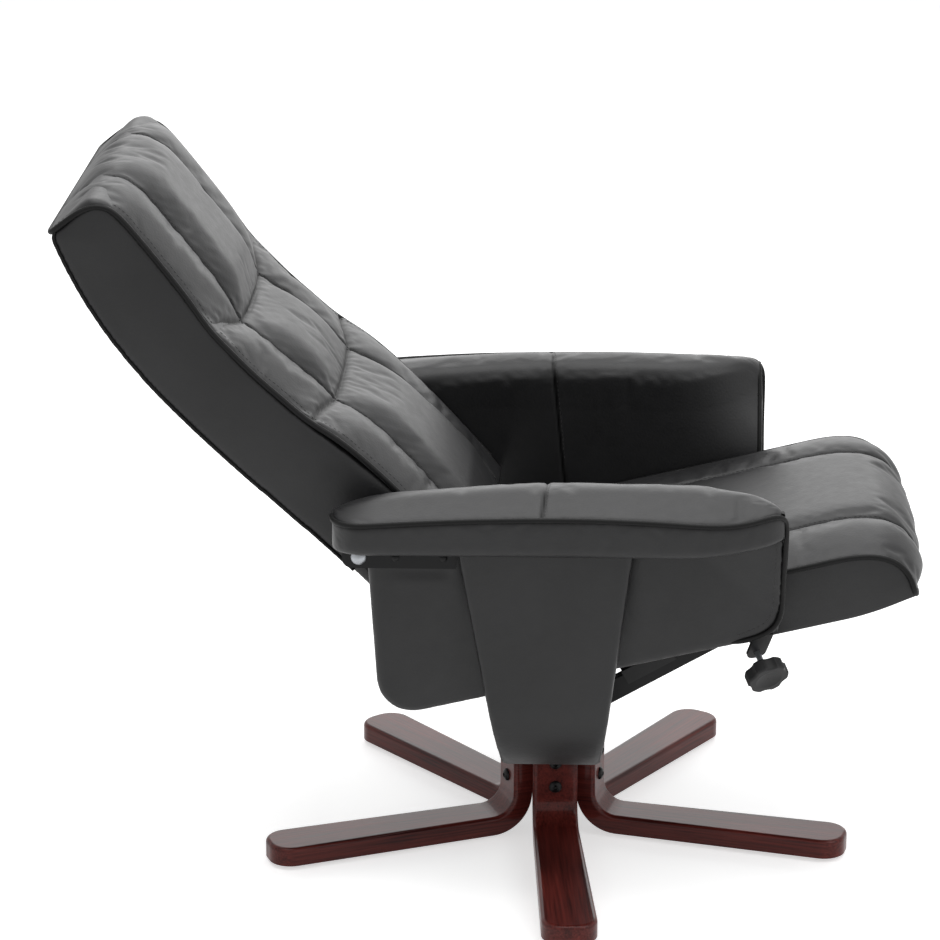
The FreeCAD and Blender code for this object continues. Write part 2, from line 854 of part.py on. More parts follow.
def back_arm(side):
    """Steel arm on the side of the back, from above the pivot down to the push rod."""
    x, z = rod_in_back()
    half = back_arm_half
    foot = z - half
    arm = prism("XZ", [
        (-half, back_arm_top, half * bar_end),
        (half, back_arm_top, half * bar_end),
        (x + half, foot, half * bar_end),
        (x - half, foot, half * bar_end),
    ], seat_half, back_arm_thickness)
    bush = pivot_bolt + 2 * (running_gap + pivot_bush_wall)
    arm = arm.cut(rod(bush, Y_AXIS * seat_half, Y_AXIS, back_arm_thickness))
    arm = arm.cut(rod(rod_diameter, FreeCAD.Vector(x, seat_half, z), Y_AXIS, back_arm_thickness))
    for place in back_screw_places():
        arm = arm.cut(rod(back_arm_screw + 2 * hole_gap, place, -Y_AXIS, back_arm_thickness))
    return on_side(leaned(arm), side)


def back_arm_screws():
    screw = dome_bolt(back_arm_screw, back_arm_screw_head, back_arm_screw_dome,
                      back_arm_thickness + back_arm_screw_bite)
    group = []
    for side in sides.values():
        for place in back_screw_places():
            group.append(on_side(leaned(aimed(screw, place, Y_AXIS)), side))
    return Part.makeCompound(group)


def pivot_bush(side):
    bore = pivot_bolt / 2 + running_gap
    bush = ring(bore, bore + pivot_bush_wall, 0, back_arm_thickness)
    return on_side(aimed(bush, pivot_place(seat_half), Y_AXIS), side)


def push_rod():
    """Cross rod through both arms of the back and the slots of the seat's brackets."""
    reach = seat_half + back_arm_thickness
    return rod(rod_diameter, FreeCAD.Vector(rod_x, -reach, rod_z), Y_AXIS, 2 * reach)


def pitched(shape):
    """From the seat's own level frame to its place and pitch."""
    shape = shape.copy()
    shape.rotate(ORIGIN, Y_AXIS, -seat_pitch)
    shape.translate(FreeCAD.Vector(seat_rear_x, 0, seat_rear_z))
    return shape


def in_seat(x, z):
    """World (x, z) in the seat's own level frame."""
    turn = math.radians(seat_pitch)
    along, up = x - seat_rear_x, z - seat_rear_z
    return (along * math.cos(turn) + up * math.sin(turn),
            up * math.cos(turn) - along * math.sin(turn))


def slot_cut(spare):
    """Slot square to the slide, as long as the rod's arc needs; in world place."""
    rise = math.radians(slide_angle)
    down = FreeCAD.Vector(math.sin(rise), 0, -math.cos(rise))
    radius = rod_radius + spare
    top = FreeCAD.Vector(rod_x, 0, rod_z)
    bottom = top + down * (rod_rise + slot_spare)
    top = top - down * slot_spare
    side = down.cross(Y_AXIS) * radius
    edges = [
        Part.LineSegment(top + side, bottom + side).toShape(),
        Part.Arc(bottom + side, bottom + down * radius, bottom - side).toShape(),
        Part.LineSegment(bottom - side, top - side).toShape(),
        Part.Arc(top - side, top - down * radius, top + side).toShape(),
    ]
    face = Part.Face(Part.Wire(edges))
    face.translate(Y_AXIS * (slot_plate_out - slot_plate))
    return face.extrude(Y_AXIS * slot_plate)


def slot_bracket(side):
    """Slotted plate behind the seat, notched through its rear wall, with a flange under the board."""
    x, z = in_seat(rod_x, rod_z)
    rim = rod_radius + slot_plate_rim
    inner = slot_plate_out - slot_plate
    fin = prism("XZ", [
        (x, seat_skirt, 0),
        (x, z, 0),
        (seat_wall, z - rim, 0),
        (slot_plate_reach, seat_skirt - slot_plate_flange, 0),
        (slot_plate_reach, seat_skirt, 0),
    ], inner, slot_plate)
    rear = seat_wall + pass_gap
    flange = slab((rear, slot_plate_out - slot_plate_flange_width, seat_skirt - slot_plate_flange),
                  (slot_plate_reach, slot_plate_out, seat_skirt))
    bracket = pitched(fin.fuse(flange)).fuse(slot_cut(running_gap + slot_plate_rim))
    bracket = bracket.cut(slot_cut(running_gap)).removeSplitter()
    return on_side(bracket.Solids[0], side)


def seat_outline():
    toe = seat_length - seat_toe_length
    return [
        (0, 0, seat_rear_round),
        (toe, 0, seat_toe_bend),
        (seat_length, seat_toe_rise, 0),
        (seat_length, seat_board_top, 0),
        (0, seat_board_top, 0),
    ]


def seat_frame():
    """Board with skirts all round, open below, notched at the rear for the slotted plates."""
    frame = prism("XZ", seat_outline(), -seat_half, seat_width)
    low = -seat_skirt
    frame = frame.cut(slab((seat_wall, seat_wall - seat_half, low),
                           (seat_length - seat_wall, seat_half - seat_wall, seat_skirt)))
    for side in sides.values():
        notch = slab((-seat_wall, slot_plate_out - slot_plate - pass_gap, low),
                     (seat_wall + pass_gap, slot_plate_out + pass_gap, seat_skirt))
        frame = frame.cut(on_side(notch, side))
    return pitched(frame.Solids[0])


def seat_seams():
    """Channels pulled in along the seat pad's two seams, over its top and down its front."""
    top = seat_board_top + cushion_side + cushion_crown
    front = seat_length + seat_overhang
    channels = []
    for side in sides.values():
        y = side * seat_seam
        channels.append(prism("YZ", [
            (y - seat_seam_half, top, 0), (y + seat_seam_half, top, 0), (y, top - seat_seam_depth, 0),
        ], 0, front))
        channels.append(prism("XY", [
            (front, y - seat_front_seam_half, 0), (front, y + seat_front_seam_half, 0),
            (front - seat_front_seam_depth, y, 0),
        ], seat_board_top, top - seat_board_top))
    return channels


def seat_cushion():
    """Crowned seat pad on the board, rolled over at its front edge and pulled in at its seams."""
    rim = seat_board_top + cushion_side
    top = rim + cushion_crown
    front = seat_length + seat_overhang
    side_view = prism("XZ", [
        (0, seat_board_top, 0),
        (front, seat_board_top, cushion_lip_round),
        (front, top, cushion_front_round),
        (0, top, cushion_back_round),
    ], -seat_half, seat_width)
    crest = FreeCAD.Vector(0, 0, top)
    left = FreeCAD.Vector(0, seat_half, rim)
    right = FreeCAD.Vector(0, -seat_half, rim)
    arch = Part.Arc(left, crest, right).toShape()
    base = Part.makePolygon([
        right, FreeCAD.Vector(0, -seat_half, seat_board_top),
        FreeCAD.Vector(0, seat_half, seat_board_top), left,
    ])
    section = Part.Face(Part.Wire(base.Edges + [arch])).extrude(X_AXIS * front)
    pad = side_view.common(section)
    for channel in seat_seams():
        pad = pad.cut(channel)
    return pitched(pad.Solids[0])


def on_rail(shape):
    """From the rail's own level frame to its slope on the support's floor."""
    shape = shape.copy()
    shape.rotate(ORIGIN, Y_AXIS, -slide_angle)
    shape.translate(FreeCAD.Vector(rail_rear_x, 0, rail_low_z))
    return shape


def rail_point(along, height):
    """World (x, z) of a point in the rail's own level frame."""
    turn = math.radians(slide_angle)
    return (rail_rear_x + along * math.cos(turn) - height * math.sin(turn),
            rail_low_z + along * math.sin(turn) + height * math.cos(turn))


def slide_rail(side):
    """Rectangular steel tube that a runner slides on."""
    tube = slab((0, rail_in, 0), (rail_length, rail_out, rail_height))
    bore = slab((0, rail_in + rail_wall, rail_wall),
                (rail_length, rail_out - rail_wall, rail_height - rail_wall))
    return on_side(on_rail(tube.cut(bore)), side)


def foot_bolt_places():
    x = foot_front_x - foot_bolt_inset
    middle = (rail_in + rail_out) / 2
    y = foot_width / 2 - foot_bolt_inset
    top = support_floor + foot_thickness
    return [FreeCAD.Vector(x, middle + i * y, top) for i in (-1, 1)]


def rail_foot(side):
    """Gusset that stands on the support's floor and carries the rail along its underside."""
    top = support_floor + foot_thickness
    slope = math.tan(math.radians(slide_angle))
    rise = [rail_low_z + (x - rail_rear_x) * slope for x in (foot_rear_x, foot_front_x)]
    web = prism("XZ", [
        (foot_rear_x, support_floor, 0),
        (foot_front_x, support_floor, 0),
        (foot_front_x, rise[1], 0),
        (foot_rear_x, rise[0], 0),
    ], rail_in, rail_width)
    middle = (rail_in + rail_out) / 2
    flange = slab((foot_rear_x, middle - foot_width / 2, support_floor),
                  (foot_front_x, middle + foot_width / 2, top))
    foot = web.fuse(flange)
    for place in foot_bolt_places():
        foot = foot.cut(rod(foot_bolt + 2 * hole_gap, place, -Z_AXIS, foot_thickness))
    return on_side(foot.removeSplitter().Solids[0], side)


def foot_bolts():
    bolt = dome_bolt(foot_bolt, foot_bolt_head, foot_bolt_dome, foot_thickness + foot_bolt_bite)
    group = []
    for side in sides.values():
        group += [on_side(aimed(bolt, place, Z_AXIS), side) for place in foot_bolt_places()]
    return Part.makeCompound(group)


def rail_tie():
    """Cross tube that keeps the two rails parallel near their front ends."""
    x, z = rail_point(rail_length - tie_setback, rail_height / 2)
    return rod(tie_diameter, FreeCAD.Vector(x, -rail_in, z), Y_AXIS, 2 * rail_in)


def runner_shoe(side):
    """Nylon shoe that straddles the top of a rail."""
    low = rail_height - shoe_cheek_drop
    high = rail_height + running_gap + shoe_thickness
    shoe = slab((shoe_start, rail_in - running_gap - shoe_cheek, low),
                (shoe_start + shoe_length, rail_out + running_gap + shoe_cheek, high))
    shoe = shoe.cut(slab((shoe_start, rail_in - running_gap, low),
                         (shoe_start + shoe_length, rail_out + running_gap, rail_height + running_gap)))
    return on_side(on_rail(shoe), side)


def runner_bracket(side):
    """Steel wedge between the sloping shoe and the underside of the seat board."""
    seat = rail_height + running_gap + shoe_thickness
    rear = in_seat(*rail_point(shoe_start, seat))
    front = in_seat(*rail_point(shoe_start + shoe_length, seat))
    middle = (rail_in + rail_out) / 2
    web = prism("XZ", [
        (rear[0], rear[1], 0), (front[0], front[1], 0), (front[0], seat_skirt, 0), (rear[0], seat_skirt, 0),
    ], middle - runner_web / 2, runner_web)
    flange = slab((rear[0], middle - runner_flange_width / 2, seat_skirt - runner_flange),
                  (front[0], middle + runner_flange_width / 2, seat_skirt))
    saddle = slab((shoe_start, rail_in, seat), (shoe_start + shoe_length, rail_out, seat + runner_flange))
    bracket = pitched(web.fuse(flange)).fuse(on_rail(saddle))
    return on_side(bracket.removeSplitter().Solids[0], side)


def knob_out():
    """Unit vector along the lock's stud, from the seat out through the knob."""
    dip = math.radians(knob_dip)
    turn = math.radians(knob_azimuth)
    return FreeCAD.Vector(math.cos(turn) * math.cos(dip), math.sin(turn) * math.cos(dip), -math.sin(dip))


def lock_tip():
    """Where the stud's pad stands against the right side of the seat, just above its lower edge."""
    edge = seat_rear_z + (lock_x - seat_rear_x) * math.tan(math.radians(seat_pitch))
    lean = stud_pad / 2 * math.sqrt(1 - knob_out().y ** 2)
    return FreeCAD.Vector(lock_x, -seat_half - running_gap - lean, edge + lock_rise)


def lock_knob():
    """Lobed hand knob with a dished face."""
    knob = turned([
        (0, 0), (knob_diameter / 2, 0), (knob_diameter / 2, knob_height), (0, knob_height),
    ])
    reach = knob_diameter / 2 + knob_scallop / 2 - knob_scallop_depth
    for i in range(knob_lobes):
        turn = math.radians(360 * i / knob_lobes)
        place = FreeCAD.Vector(reach * math.cos(turn), reach * math.sin(turn), 0)
        knob = knob.cut(rod(knob_scallop, place, Z_AXIS, knob_height))
    rims = [e for e in knob.Edges if e.BoundBox.ZLength < near]
    knob = knob.makeFillet(knob_edge_round, rims)
    sphere = (knob_dish_diameter ** 2 / 4 + knob_dish ** 2) / (2 * knob_dish)
    knob = knob.cut(Part.makeSphere(sphere, FreeCAD.Vector(0, 0, knob_height - knob_dish + sphere)))
    knob = knob.cut(rod(stud_diameter + hole_gap, ORIGIN, Z_AXIS, stud_bite))
    return aimed(knob, lock_tip() + knob_out() * stud_length, knob_out())


def knob_stud():
    """Stud from the knob to the pad that bears on the seat."""
    stud = turned([
        (0, 0), (stud_pad / 2, 0), (stud_pad / 2, stud_pad_height), (stud_diameter / 2, stud_pad_height),
        (stud_diameter / 2, stud_length + stud_bite), (0, stud_length + stud_bite),
    ])
    return aimed(stud, lock_tip(), knob_out())


def lock_bracket():
    """Steel tab that hangs from the panel's lower front corner, with a threaded boss for the stud."""
    half = lock_plate_width / 2
    up = pad_underside - panel_front_z
    tab = prism("XY", [
        (-half, -lock_plate_drop, lock_plate_drop * bar_end),
        (half, -lock_plate_drop, lock_plate_drop * bar_end),
        (half, up, 0),
        (-half, up, 0),
    ], 0, lock_plate)
    tab = tab.fuse(rod(lock_boss, Z_AXIS * (lock_plate - lock_boss_height), Z_AXIS, lock_boss_height))
    tab = tab.cut(rod(stud_diameter + 2 * running_gap, Z_AXIS * -lock_boss_height, Z_AXIS,
                      2 * lock_boss_height))
    out = knob_out()
    across = Z_AXIS.cross(out).normalize()
    rise = out.cross(across)
    place = lock_tip() + out * lock_plate_setback
    frame = FreeCAD.Matrix(across.x, rise.x, out.x, place.x, across.y, rise.y, out.y, place.y,
                           across.z, rise.z, out.z, place.z, 0, 0, 0, 1)
    tab = tab.transformGeometry(frame)
    beneath = slab((lock_x - up, -panel_out, 0), (lock_x + up, -seat_half, panel_front_z))
    hung = tab.cut(arm_panel(-1)).common(beneath)
    return max(hung.Solids, key=lambda solid: solid.Volume)


def build():
    nodes = {
        "hub_housing": hub_housing(),
        "bearing_bush_lower": bearing_bush(hub_low, False),
        "bearing_bush_upper": bearing_bush(hub_high - bush_length, True),
        "leg_bolts": leg_bolts(),
        "floor_glides": floor_glides(),
        "thrust_washer": thrust_washer(),
        "swivel_spindle": swivel_spindle(),
        "spindle_clip": spindle_clip(),
        "swivel_plate": swivel_plate(),
        "plate_bolts": plate_bolts(),
        "arm_support": arm_support(),
        "strap_screws": strap_screws(),
        "foot_bolts": foot_bolts(),
        "rail_tie": rail_tie(),
        "lock_bracket": lock_bracket(),
        "lock_knob": lock_knob(),
        "knob_stud": knob_stud(),
        "back_shell": back_shell(),
        "back_cushion": back_cushion(),
        "back_rear_cover": back_rear_cover(),
        "back_arm_screws": back_arm_screws(),
        "push_rod": push_rod(),
        "seat_frame": seat_frame(),
        "seat_cushion": seat_cushion(),
    }
    for number, angle in enumerate(leg_angles(), 1):
        nodes["base_leg_%d" % number] = base_leg(angle)
    paired = {
        "arm_panel": arm_panel, "arm_pad": arm_pad, "pivot_strap": pivot_strap,
        "pivot_bolt": pivot_bolt_piece, "pivot_spacer": pivot_spacer, "pivot_nut": pivot_nut_piece,
        "pivot_bush": pivot_bush, "back_arm": back_arm, "slide_rail": slide_rail,
        "rail_foot": rail_foot, "runner_shoe": runner_shoe, "runner_bracket": runner_bracket,
        "slot_bracket": slot_bracket,
    }
    for name, make in paired.items():
        for hand, side in sides.items():
            nodes["%s_%s" % (name, hand)] = make(side)
    return nodes


os.makedirs("parts", exist_ok=True)
for name, shape in build().items():
    shape.exportStep("parts/%s.step" % name)
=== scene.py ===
"""Upholstery, piping, stitching and finishes for a reclined swivel chair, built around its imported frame.

Metres, in the frame's own axes: +X is the way the seat faces, +Y the sitter's left, +Z up.
"""

import json
import math

import bmesh
import bpy
import numpy as np
from bpy.props import FloatProperty, FloatVectorProperty, IntProperty, PointerProperty
from mathutils import Matrix, Vector
from mathutils.bvhtree import BVHTree


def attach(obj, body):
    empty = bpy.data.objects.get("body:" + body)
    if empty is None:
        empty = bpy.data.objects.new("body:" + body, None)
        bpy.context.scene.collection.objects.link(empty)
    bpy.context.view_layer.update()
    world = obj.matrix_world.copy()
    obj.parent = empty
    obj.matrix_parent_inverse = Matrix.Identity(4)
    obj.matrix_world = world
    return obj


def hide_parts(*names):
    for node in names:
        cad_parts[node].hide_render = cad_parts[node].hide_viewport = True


bl_info = {
    "name": "Swivel Recliner Looks",
    "version": (1, 0, 0),
    "blender": (4, 5, 0),
    "location": "3D View > Sidebar > Recliner",
    "description": "Upholstery, piping, stitching and finishes for a swivel recliner",
    "category": "Object",
}

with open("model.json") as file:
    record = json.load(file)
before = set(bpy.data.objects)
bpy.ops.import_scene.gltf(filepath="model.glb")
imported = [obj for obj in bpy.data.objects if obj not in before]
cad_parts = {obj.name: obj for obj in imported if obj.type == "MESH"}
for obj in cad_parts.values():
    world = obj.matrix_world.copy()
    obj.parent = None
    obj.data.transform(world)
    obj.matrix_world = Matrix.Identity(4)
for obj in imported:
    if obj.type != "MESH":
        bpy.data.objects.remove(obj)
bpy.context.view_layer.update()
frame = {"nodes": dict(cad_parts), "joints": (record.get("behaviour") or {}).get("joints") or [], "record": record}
NODES = frame["nodes"]
JOINTS = {joint["name"]: joint for joint in frame["joints"]}

MM = 0.001
ACROSS = np.array((0.0, 1.0, 0.0))

# The back leans by this much at rest, about the recline pivots
BACK_LEAN = math.radians(42.8)
BACK_PIVOT = np.array(JOINTS["recline"]["pos_m"])
BACK_UP = np.array((-math.sin(BACK_LEAN), 0.0, math.cos(BACK_LEAN)))
BACK_OUT = np.array((math.cos(BACK_LEAN), 0.0, math.sin(BACK_LEAN)))

# The seat rises by this much towards its front, from its rear lower corner
SEAT_PITCH = math.radians(13.4)
SEAT_REAR = np.array((-0.055, 0.0, 0.287))
SEAT_ALONG = np.array((math.cos(SEAT_PITCH), 0.0, math.sin(SEAT_PITCH)))
SEAT_UP = np.array((-math.sin(SEAT_PITCH), 0.0, math.cos(SEAT_PITCH)))

SIDES = {"right": -1, "left": 1}


def linear(hex_colour):
    """Linear red, green and blue of an sRGB hex colour."""
    channels = [int(hex_colour[i : i + 2], 16) / 255 for i in (1, 3, 5)]
    return [c / 12.92 if c <= 0.04045 else ((c + 0.055) / 1.055) ** 2.4 for c in channels]


def colour(name, description, hex_colour):
    """Property for a colour that a user may change."""
    return FloatVectorProperty(
        name=name, description=description, subtype="COLOR", size=3, default=linear(hex_colour)
    )


def metres(name, description, size):
    """Property for a length that a user may change."""
    return FloatProperty(name=name, description=description, unit="LENGTH", default=size)


class RECLINER_PG_leather(bpy.types.PropertyGroup):
    """Colours and grain of the polyurethane leather, with the colours of the painted shade in its seams and on its
    piping.
    """

    skin: colour("Skin", "Colour of the leather's face", "#101011")
    worn: colour("Worn skin", "Colour where the leather is stretched", "#171718")
    # Painted shade: near-black colour mixed into the skin in the seams' grooves, where shade falls
    seam: colour("Seam", "Colour in the seams", "#030303")
    # Painted shade: the piping's leather is the skin's, drawn darker with the shade of its groove
    piping: colour("Piping", "Colour of the piping", "#050505")
    grain: metres("Grain", "Size of a pebble of the grain", 3.0 * MM)


class RECLINER_PG_sewing(bpy.types.PropertyGroup):
    """Sizes of seams, piping and stitches."""

    piping_radius: metres("Piping radius", "Radius of the piping of back, seat and arms", 3.8 * MM)
    groove_depth: metres("Seam depth", "How deep a seam is pulled in", 4.0 * MM)
    groove_width: metres("Seam width", "Half width of a seam's groove", 4.0 * MM)
    stitch_pitch: metres("Stitch pitch", "Distance from one stitch to the next", 6.5 * MM)
    stitch_length: metres("Stitch length", "Length of one stitch", 4.6 * MM)
    stitch_thickness: metres("Thread thickness", "Thickness of the thread", 0.9 * MM)
    stitch_setback: metres("Stitch setback", "Distance of a row of stitches from its seam", 5.0 * MM)


class RECLINER_PG_padding(bpy.types.PropertyGroup):
    """How full the pads are."""

    pressure: FloatProperty(name="Pressure", description="Cloth pressure that swells the pads", default=4.0)
    frames: IntProperty(name="Frames", description="Length of the cloth simulation", default=20)
    back_swell: metres("Back swell", "Most that a point of the back's pad moves", 5.0 * MM)
    seat_swell: metres("Seat swell", "Most that a point of the seat's pad moves", 3.0 * MM)
    arm_swell: metres("Arm swell", "Most that a point of an arm pad moves", 1.2 * MM)


class RECLINER_PG_base(bpy.types.PropertyGroup):
    """Star base: lacquer and bolts."""

    wood_dark: colour("Dark grain", "Colour of the mahogany's dark grain", "#330f0d")
    wood_light: colour("Light grain", "Colour between the mahogany's dark grain", "#6a2a24")
    leg_angle: FloatProperty(
        name="First leg",
        description="Angle of the first leg about the swivel axis",
        subtype="ANGLE",
        default=math.radians(-86.0),
    )
    leg_count: IntProperty(name="Legs", description="Number of legs", default=5)
    bolt_face: metres("Bolt face", "Distance of the bolted faces from the swivel axis", 66.0 * MM)
    bolt_low: metres("Lower bolt", "Height of the lower bolts", 79.0 * MM)
    bolt_high: metres("Upper bolt", "Height of the upper bolts", 113.0 * MM)
    bolt_radius: metres("Bolt head radius", "Radius of a bolt's head", 8.5 * MM)
    bolt_dome: metres("Bolt head height", "Height of a bolt's domed head", 5.0 * MM)


def add_node(tree, kind, values=None, links=None, **settings):
    """Adds one node: settings are its properties, values its inputs' numbers, links its inputs' sources."""
    made = tree.nodes.new(kind)
    for name, value in settings.items():
        setattr(made, name, value)
    for key, value in (values or {}).items():
        made.inputs[key].default_value = value
    wire(tree, made, links or {})
    return made


def wire(tree, node, links):
    """Links a node's inputs to sockets, or to nodes by their first outputs."""
    for key, source in links.items():
        socket = source.outputs[0] if isinstance(source, bpy.types.Node) else source
        tree.links.new(socket, node.inputs[key])


def start_material(name, fixed):
    """New material with a shader, the values that are the same all over it, and the place on the piece."""
    material = bpy.data.materials.new(name)
    material.use_nodes = True
    tree = material.node_tree
    tree.nodes.clear()
    shader = add_node(tree, "ShaderNodeBsdfPrincipled", fixed)
    add_node(tree, "ShaderNodeOutputMaterial", links={"Surface": shader})
    return material, tree, shader, add_node(tree, "ShaderNodeTexCoord").outputs["Object"]


def cached(make):
    """The material that a function makes, made at its first use and named after the function."""
    return bpy.data.materials.get(make.__name__) or make(make.__name__)


def pu_leather(name):
    """Embossed polyurethane leather on foam: a satin skin whose edges catch the light from above.

    The pebbles are about 1.3 mm on the real skin and are drawn at 3 mm so that they still show.
    """
    look = bpy.context.scene.recliner_leather
    shine, seam_shade_shine = 0.38, 0.05
    material, tree, shader, place = start_material(name, {"IOR": 1.5, "Specular IOR Level": shine})
    pebbles = add_node(
        tree, "ShaderNodeTexVoronoi", {"Scale": 1 / look.grain}, {"Vector": place}, feature="SMOOTH_F1"
    )
    # Creases of the stretched skin, about 14 mm apart
    creases = add_node(tree, "ShaderNodeTexNoise", {"Scale": 1 / (14 * MM), "Detail": 4.0}, {"Vector": place})
    # Handling makes patches about 110 mm wide a little paler
    handled = {"Scale": 1 / (110 * MM), "Detail": 2.0}
    patches = add_node(tree, "ShaderNodeTexNoise", handled, {"Vector": place})
    worn = add_node(tree, "ShaderNodeMapRange", {"From Min": 0.4, "From Max": 0.65}, {"Value": patches})
    # Mask of the seams' painted shade, kept on the pad's points
    seam = add_node(tree, "ShaderNodeAttribute", attribute_name="seam").outputs["Fac"]
    skin = add_node(
        tree, "ShaderNodeMix", {6: (*look.skin, 1), 7: (*look.worn, 1)}, {0: worn}, data_type="RGBA"
    ).outputs[2]
    # Painted shade: the skin goes towards the near-black seam colour in the seams' grooves
    sewn = add_node(
        tree, "ShaderNodeMix", {7: (*look.seam, 1)}, {0: seam, 6: skin}, data_type="RGBA"
    ).outputs[2]
    limits = {"From Min": 0.3, "From Max": 0.7, "To Min": 0.43, "To Max": 0.48}
    rough = add_node(tree, "ShaderNodeMapRange", limits, {"Value": creases})
    grain = add_node(tree, "ShaderNodeBump", {"Strength": 0.22, "Distance": 0.5 * MM}, {"Height": pebbles})
    stretched = {"Height": creases, "Normal": grain}
    relief = add_node(tree, "ShaderNodeBump", {"Strength": 0.07, "Distance": 1.2 * MM}, stretched)
    # The seams' painted shade also takes out nearly all of their reflection
    seam_shade_dulling = add_node(tree, "ShaderNodeMapRange", {"To Min": shine, "To Max": seam_shade_shine}, {"Value": seam})
    wire(tree, shader, {"Base Color": sewn, "Roughness": rough, "Normal": relief, "Specular IOR Level": seam_shade_dulling})
    return material


def piping_leather(name):
    """The same skin rolled tight round a cord, painted darker and duller than the skin with the shade of the
    groove it sits in, so it reads as a black line.
    """
    look = bpy.context.scene.recliner_leather
    fixed = {"Base Color": (*look.piping, 1), "IOR": 1.5, "Specular IOR Level": 0.2}
    material, tree, shader, place = start_material(name, fixed)
    pebbles = add_node(
        tree, "ShaderNodeTexVoronoi", {"Scale": 1 / look.grain}, {"Vector": place}, feature="SMOOTH_F1"
    )
    relief = add_node(tree, "ShaderNodeBump", {"Strength": 0.2, "Distance": 0.4 * MM}, {"Height": pebbles})
    rough = add_node(tree, "ShaderNodeMapRange", {"To Min": 0.5, "To Max": 0.62}, {"Value": pebbles})
    wire(tree, shader, {"Roughness": rough, "Normal": relief})
    return material


def polyester_thread(name):
    """Bonded polyester sewing thread: dark, with the twist of its plies, painted lighter on their crests and
    darker in their grooves as painted shade.

    The plies are under 1 mm apart on the real thread. They are drawn about 7 mm apart, so that a row of
    stitches isn't all of one tone.
    """
    material, tree, shader, place = start_material(name, {"Roughness": 0.55})
    bands = {"Scale": 50.0, "Distortion": 1.0}
    twist = add_node(
        tree, "ShaderNodeTexWave", bands, {"Vector": place}, bands_direction="DIAGONAL"
    ).outputs["Fac"]
    relief = add_node(tree, "ShaderNodeBump", {"Strength": 0.4, "Distance": 0.2 * MM}, {"Height": twist})
    # Painted shade of the twist: lighter where the bump is high, darker where it is low
    plies = {6: (*linear("#101010"), 1), 7: (*linear("#242424"), 1)}
    shade = add_node(tree, "ShaderNodeMix", plies, {0: twist}, data_type="RGBA").outputs[2]
    wire(tree, shader, {"Base Color": shade, "Normal": relief})
    return material


def lacquered_mahogany(name, angle):
    """Bent laminated wood stained as mahogany under thick clear lacquer: red-brown and mirror smooth."""
    look = bpy.context.scene.recliner_base
    lacquer = {"Coat Weight": 0.2, "Coat Roughness": 0.07, "Coat IOR": 1.52}
    material, tree, shader, place = start_material(name, {"IOR": 1.5, "Specular IOR Level": 0.1, **lacquer})
    turned = add_node(tree, "ShaderNodeMapping", {"Rotation": (0, 0, -angle)}, {"Vector": place})
    # Pores run along the leg: about 90 mm long and 2.5 mm wide
    pore_size = {"Scale": (1 / (90 * MM), 1 / (2.5 * MM), 1 / (2.5 * MM))}
    stretched = add_node(tree, "ShaderNodeMapping", pore_size, {"Vector": turned})
    pores = add_node(tree, "ShaderNodeTexNoise", {"Scale": 1.0, "Detail": 5.0}, {"Vector": stretched})
    # Broad growth bands, about 18 mm wide
    band_size = {"Scale": (1 / (160 * MM), 1 / (18 * MM), 1 / (18 * MM))}
    banded = add_node(tree, "ShaderNodeMapping", band_size, {"Vector": turned})
    bands = add_node(tree, "ShaderNodeTexNoise", {"Scale": 1.0, "Detail": 2.0}, {"Vector": banded})
    figure = add_node(tree, "ShaderNodeMath", links={0: pores, 1: bands}, operation="ADD")
    shade = add_node(tree, "ShaderNodeMapRange", {"From Min": 0.7, "From Max": 1.3}, {"Value": figure})
    stains = {6: (*look.wood_dark, 1), 7: (*look.wood_light, 1)}
    stain = add_node(tree, "ShaderNodeMix", stains, {0: shade}, data_type="RGBA").outputs[2]
    rough = add_node(tree, "ShaderNodeMapRange", {"To Min": 0.3, "To Max": 0.42}, {"Value": pores})
    relief = add_node(tree, "ShaderNodeBump", {"Strength": 0.1, "Distance": 0.2 * MM}, {"Height": pores})
    # Ripple of the brushed-on lacquer, about 25 mm from crest to crest
    ripple = add_node(tree, "ShaderNodeTexNoise", {"Scale": 1 / (25 * MM), "Detail": 1.0}, {"Vector": place})
    flow = add_node(tree, "ShaderNodeBump", {"Strength": 0.06, "Distance": 0.6 * MM}, {"Height": ripple})
    wire(tree, shader, {"Base Color": stain, "Roughness": rough, "Normal": relief, "Coat Normal": flow})
    return material


def powder_coated_steel(name):
    """Steel under black powder coat: dull black with the coat's fine orange peel, about 2 mm across."""
    material, tree, shader, place = start_material(name, {"Specular IOR Level": 0.2})
    peel = add_node(tree, "ShaderNodeTexNoise", {"Scale": 1 / (2 * MM), "Detail": 2.0}, {"Vector": place})
    rubbed = add_node(tree, "ShaderNodeTexNoise", {"Scale": 1 / (30 * MM), "Detail": 3.0}, {"Vector": place})
    relief = add_node(tree, "ShaderNodeBump", {"Strength": 0.25, "Distance": 0.3 * MM}, {"Height": peel})
    rough = add_node(tree, "ShaderNodeMapRange", {"To Min": 0.32, "To Max": 0.5}, {"Value": rubbed})
    blacks = {6: (*linear("#070708"), 1), 7: (*linear("#111112"), 1)}
    shade = add_node(tree, "ShaderNodeMix", blacks, {0: rubbed}, data_type="RGBA").outputs[2]
    wire(tree, shader, {"Base Color": shade, "Roughness": rough, "Normal": relief})
    return material


def zinc_plated_steel(name):
    """Zinc-plated steel: bright grey metal with the plating's faint cloudiness, about 8 mm across."""
    material, tree, shader, place = start_material(name, {"Metallic": 1.0})
    cloud = add_node(tree, "ShaderNodeTexNoise", {"Scale": 1 / (8 * MM), "Detail": 4.0}, {"Vector": place})
    rough = add_node(tree, "ShaderNodeMapRange", {"To Min": 0.22, "To Max": 0.4}, {"Value": cloud})
    greys = {6: (*linear("#7d8084"), 1), 7: (*linear("#aaadb1"), 1)}
    shade = add_node(tree, "ShaderNodeMix", greys, {0: cloud}, data_type="RGBA").outputs[2]
    wire(tree, shader, {"Base Color": shade, "Roughness": rough})
    return material


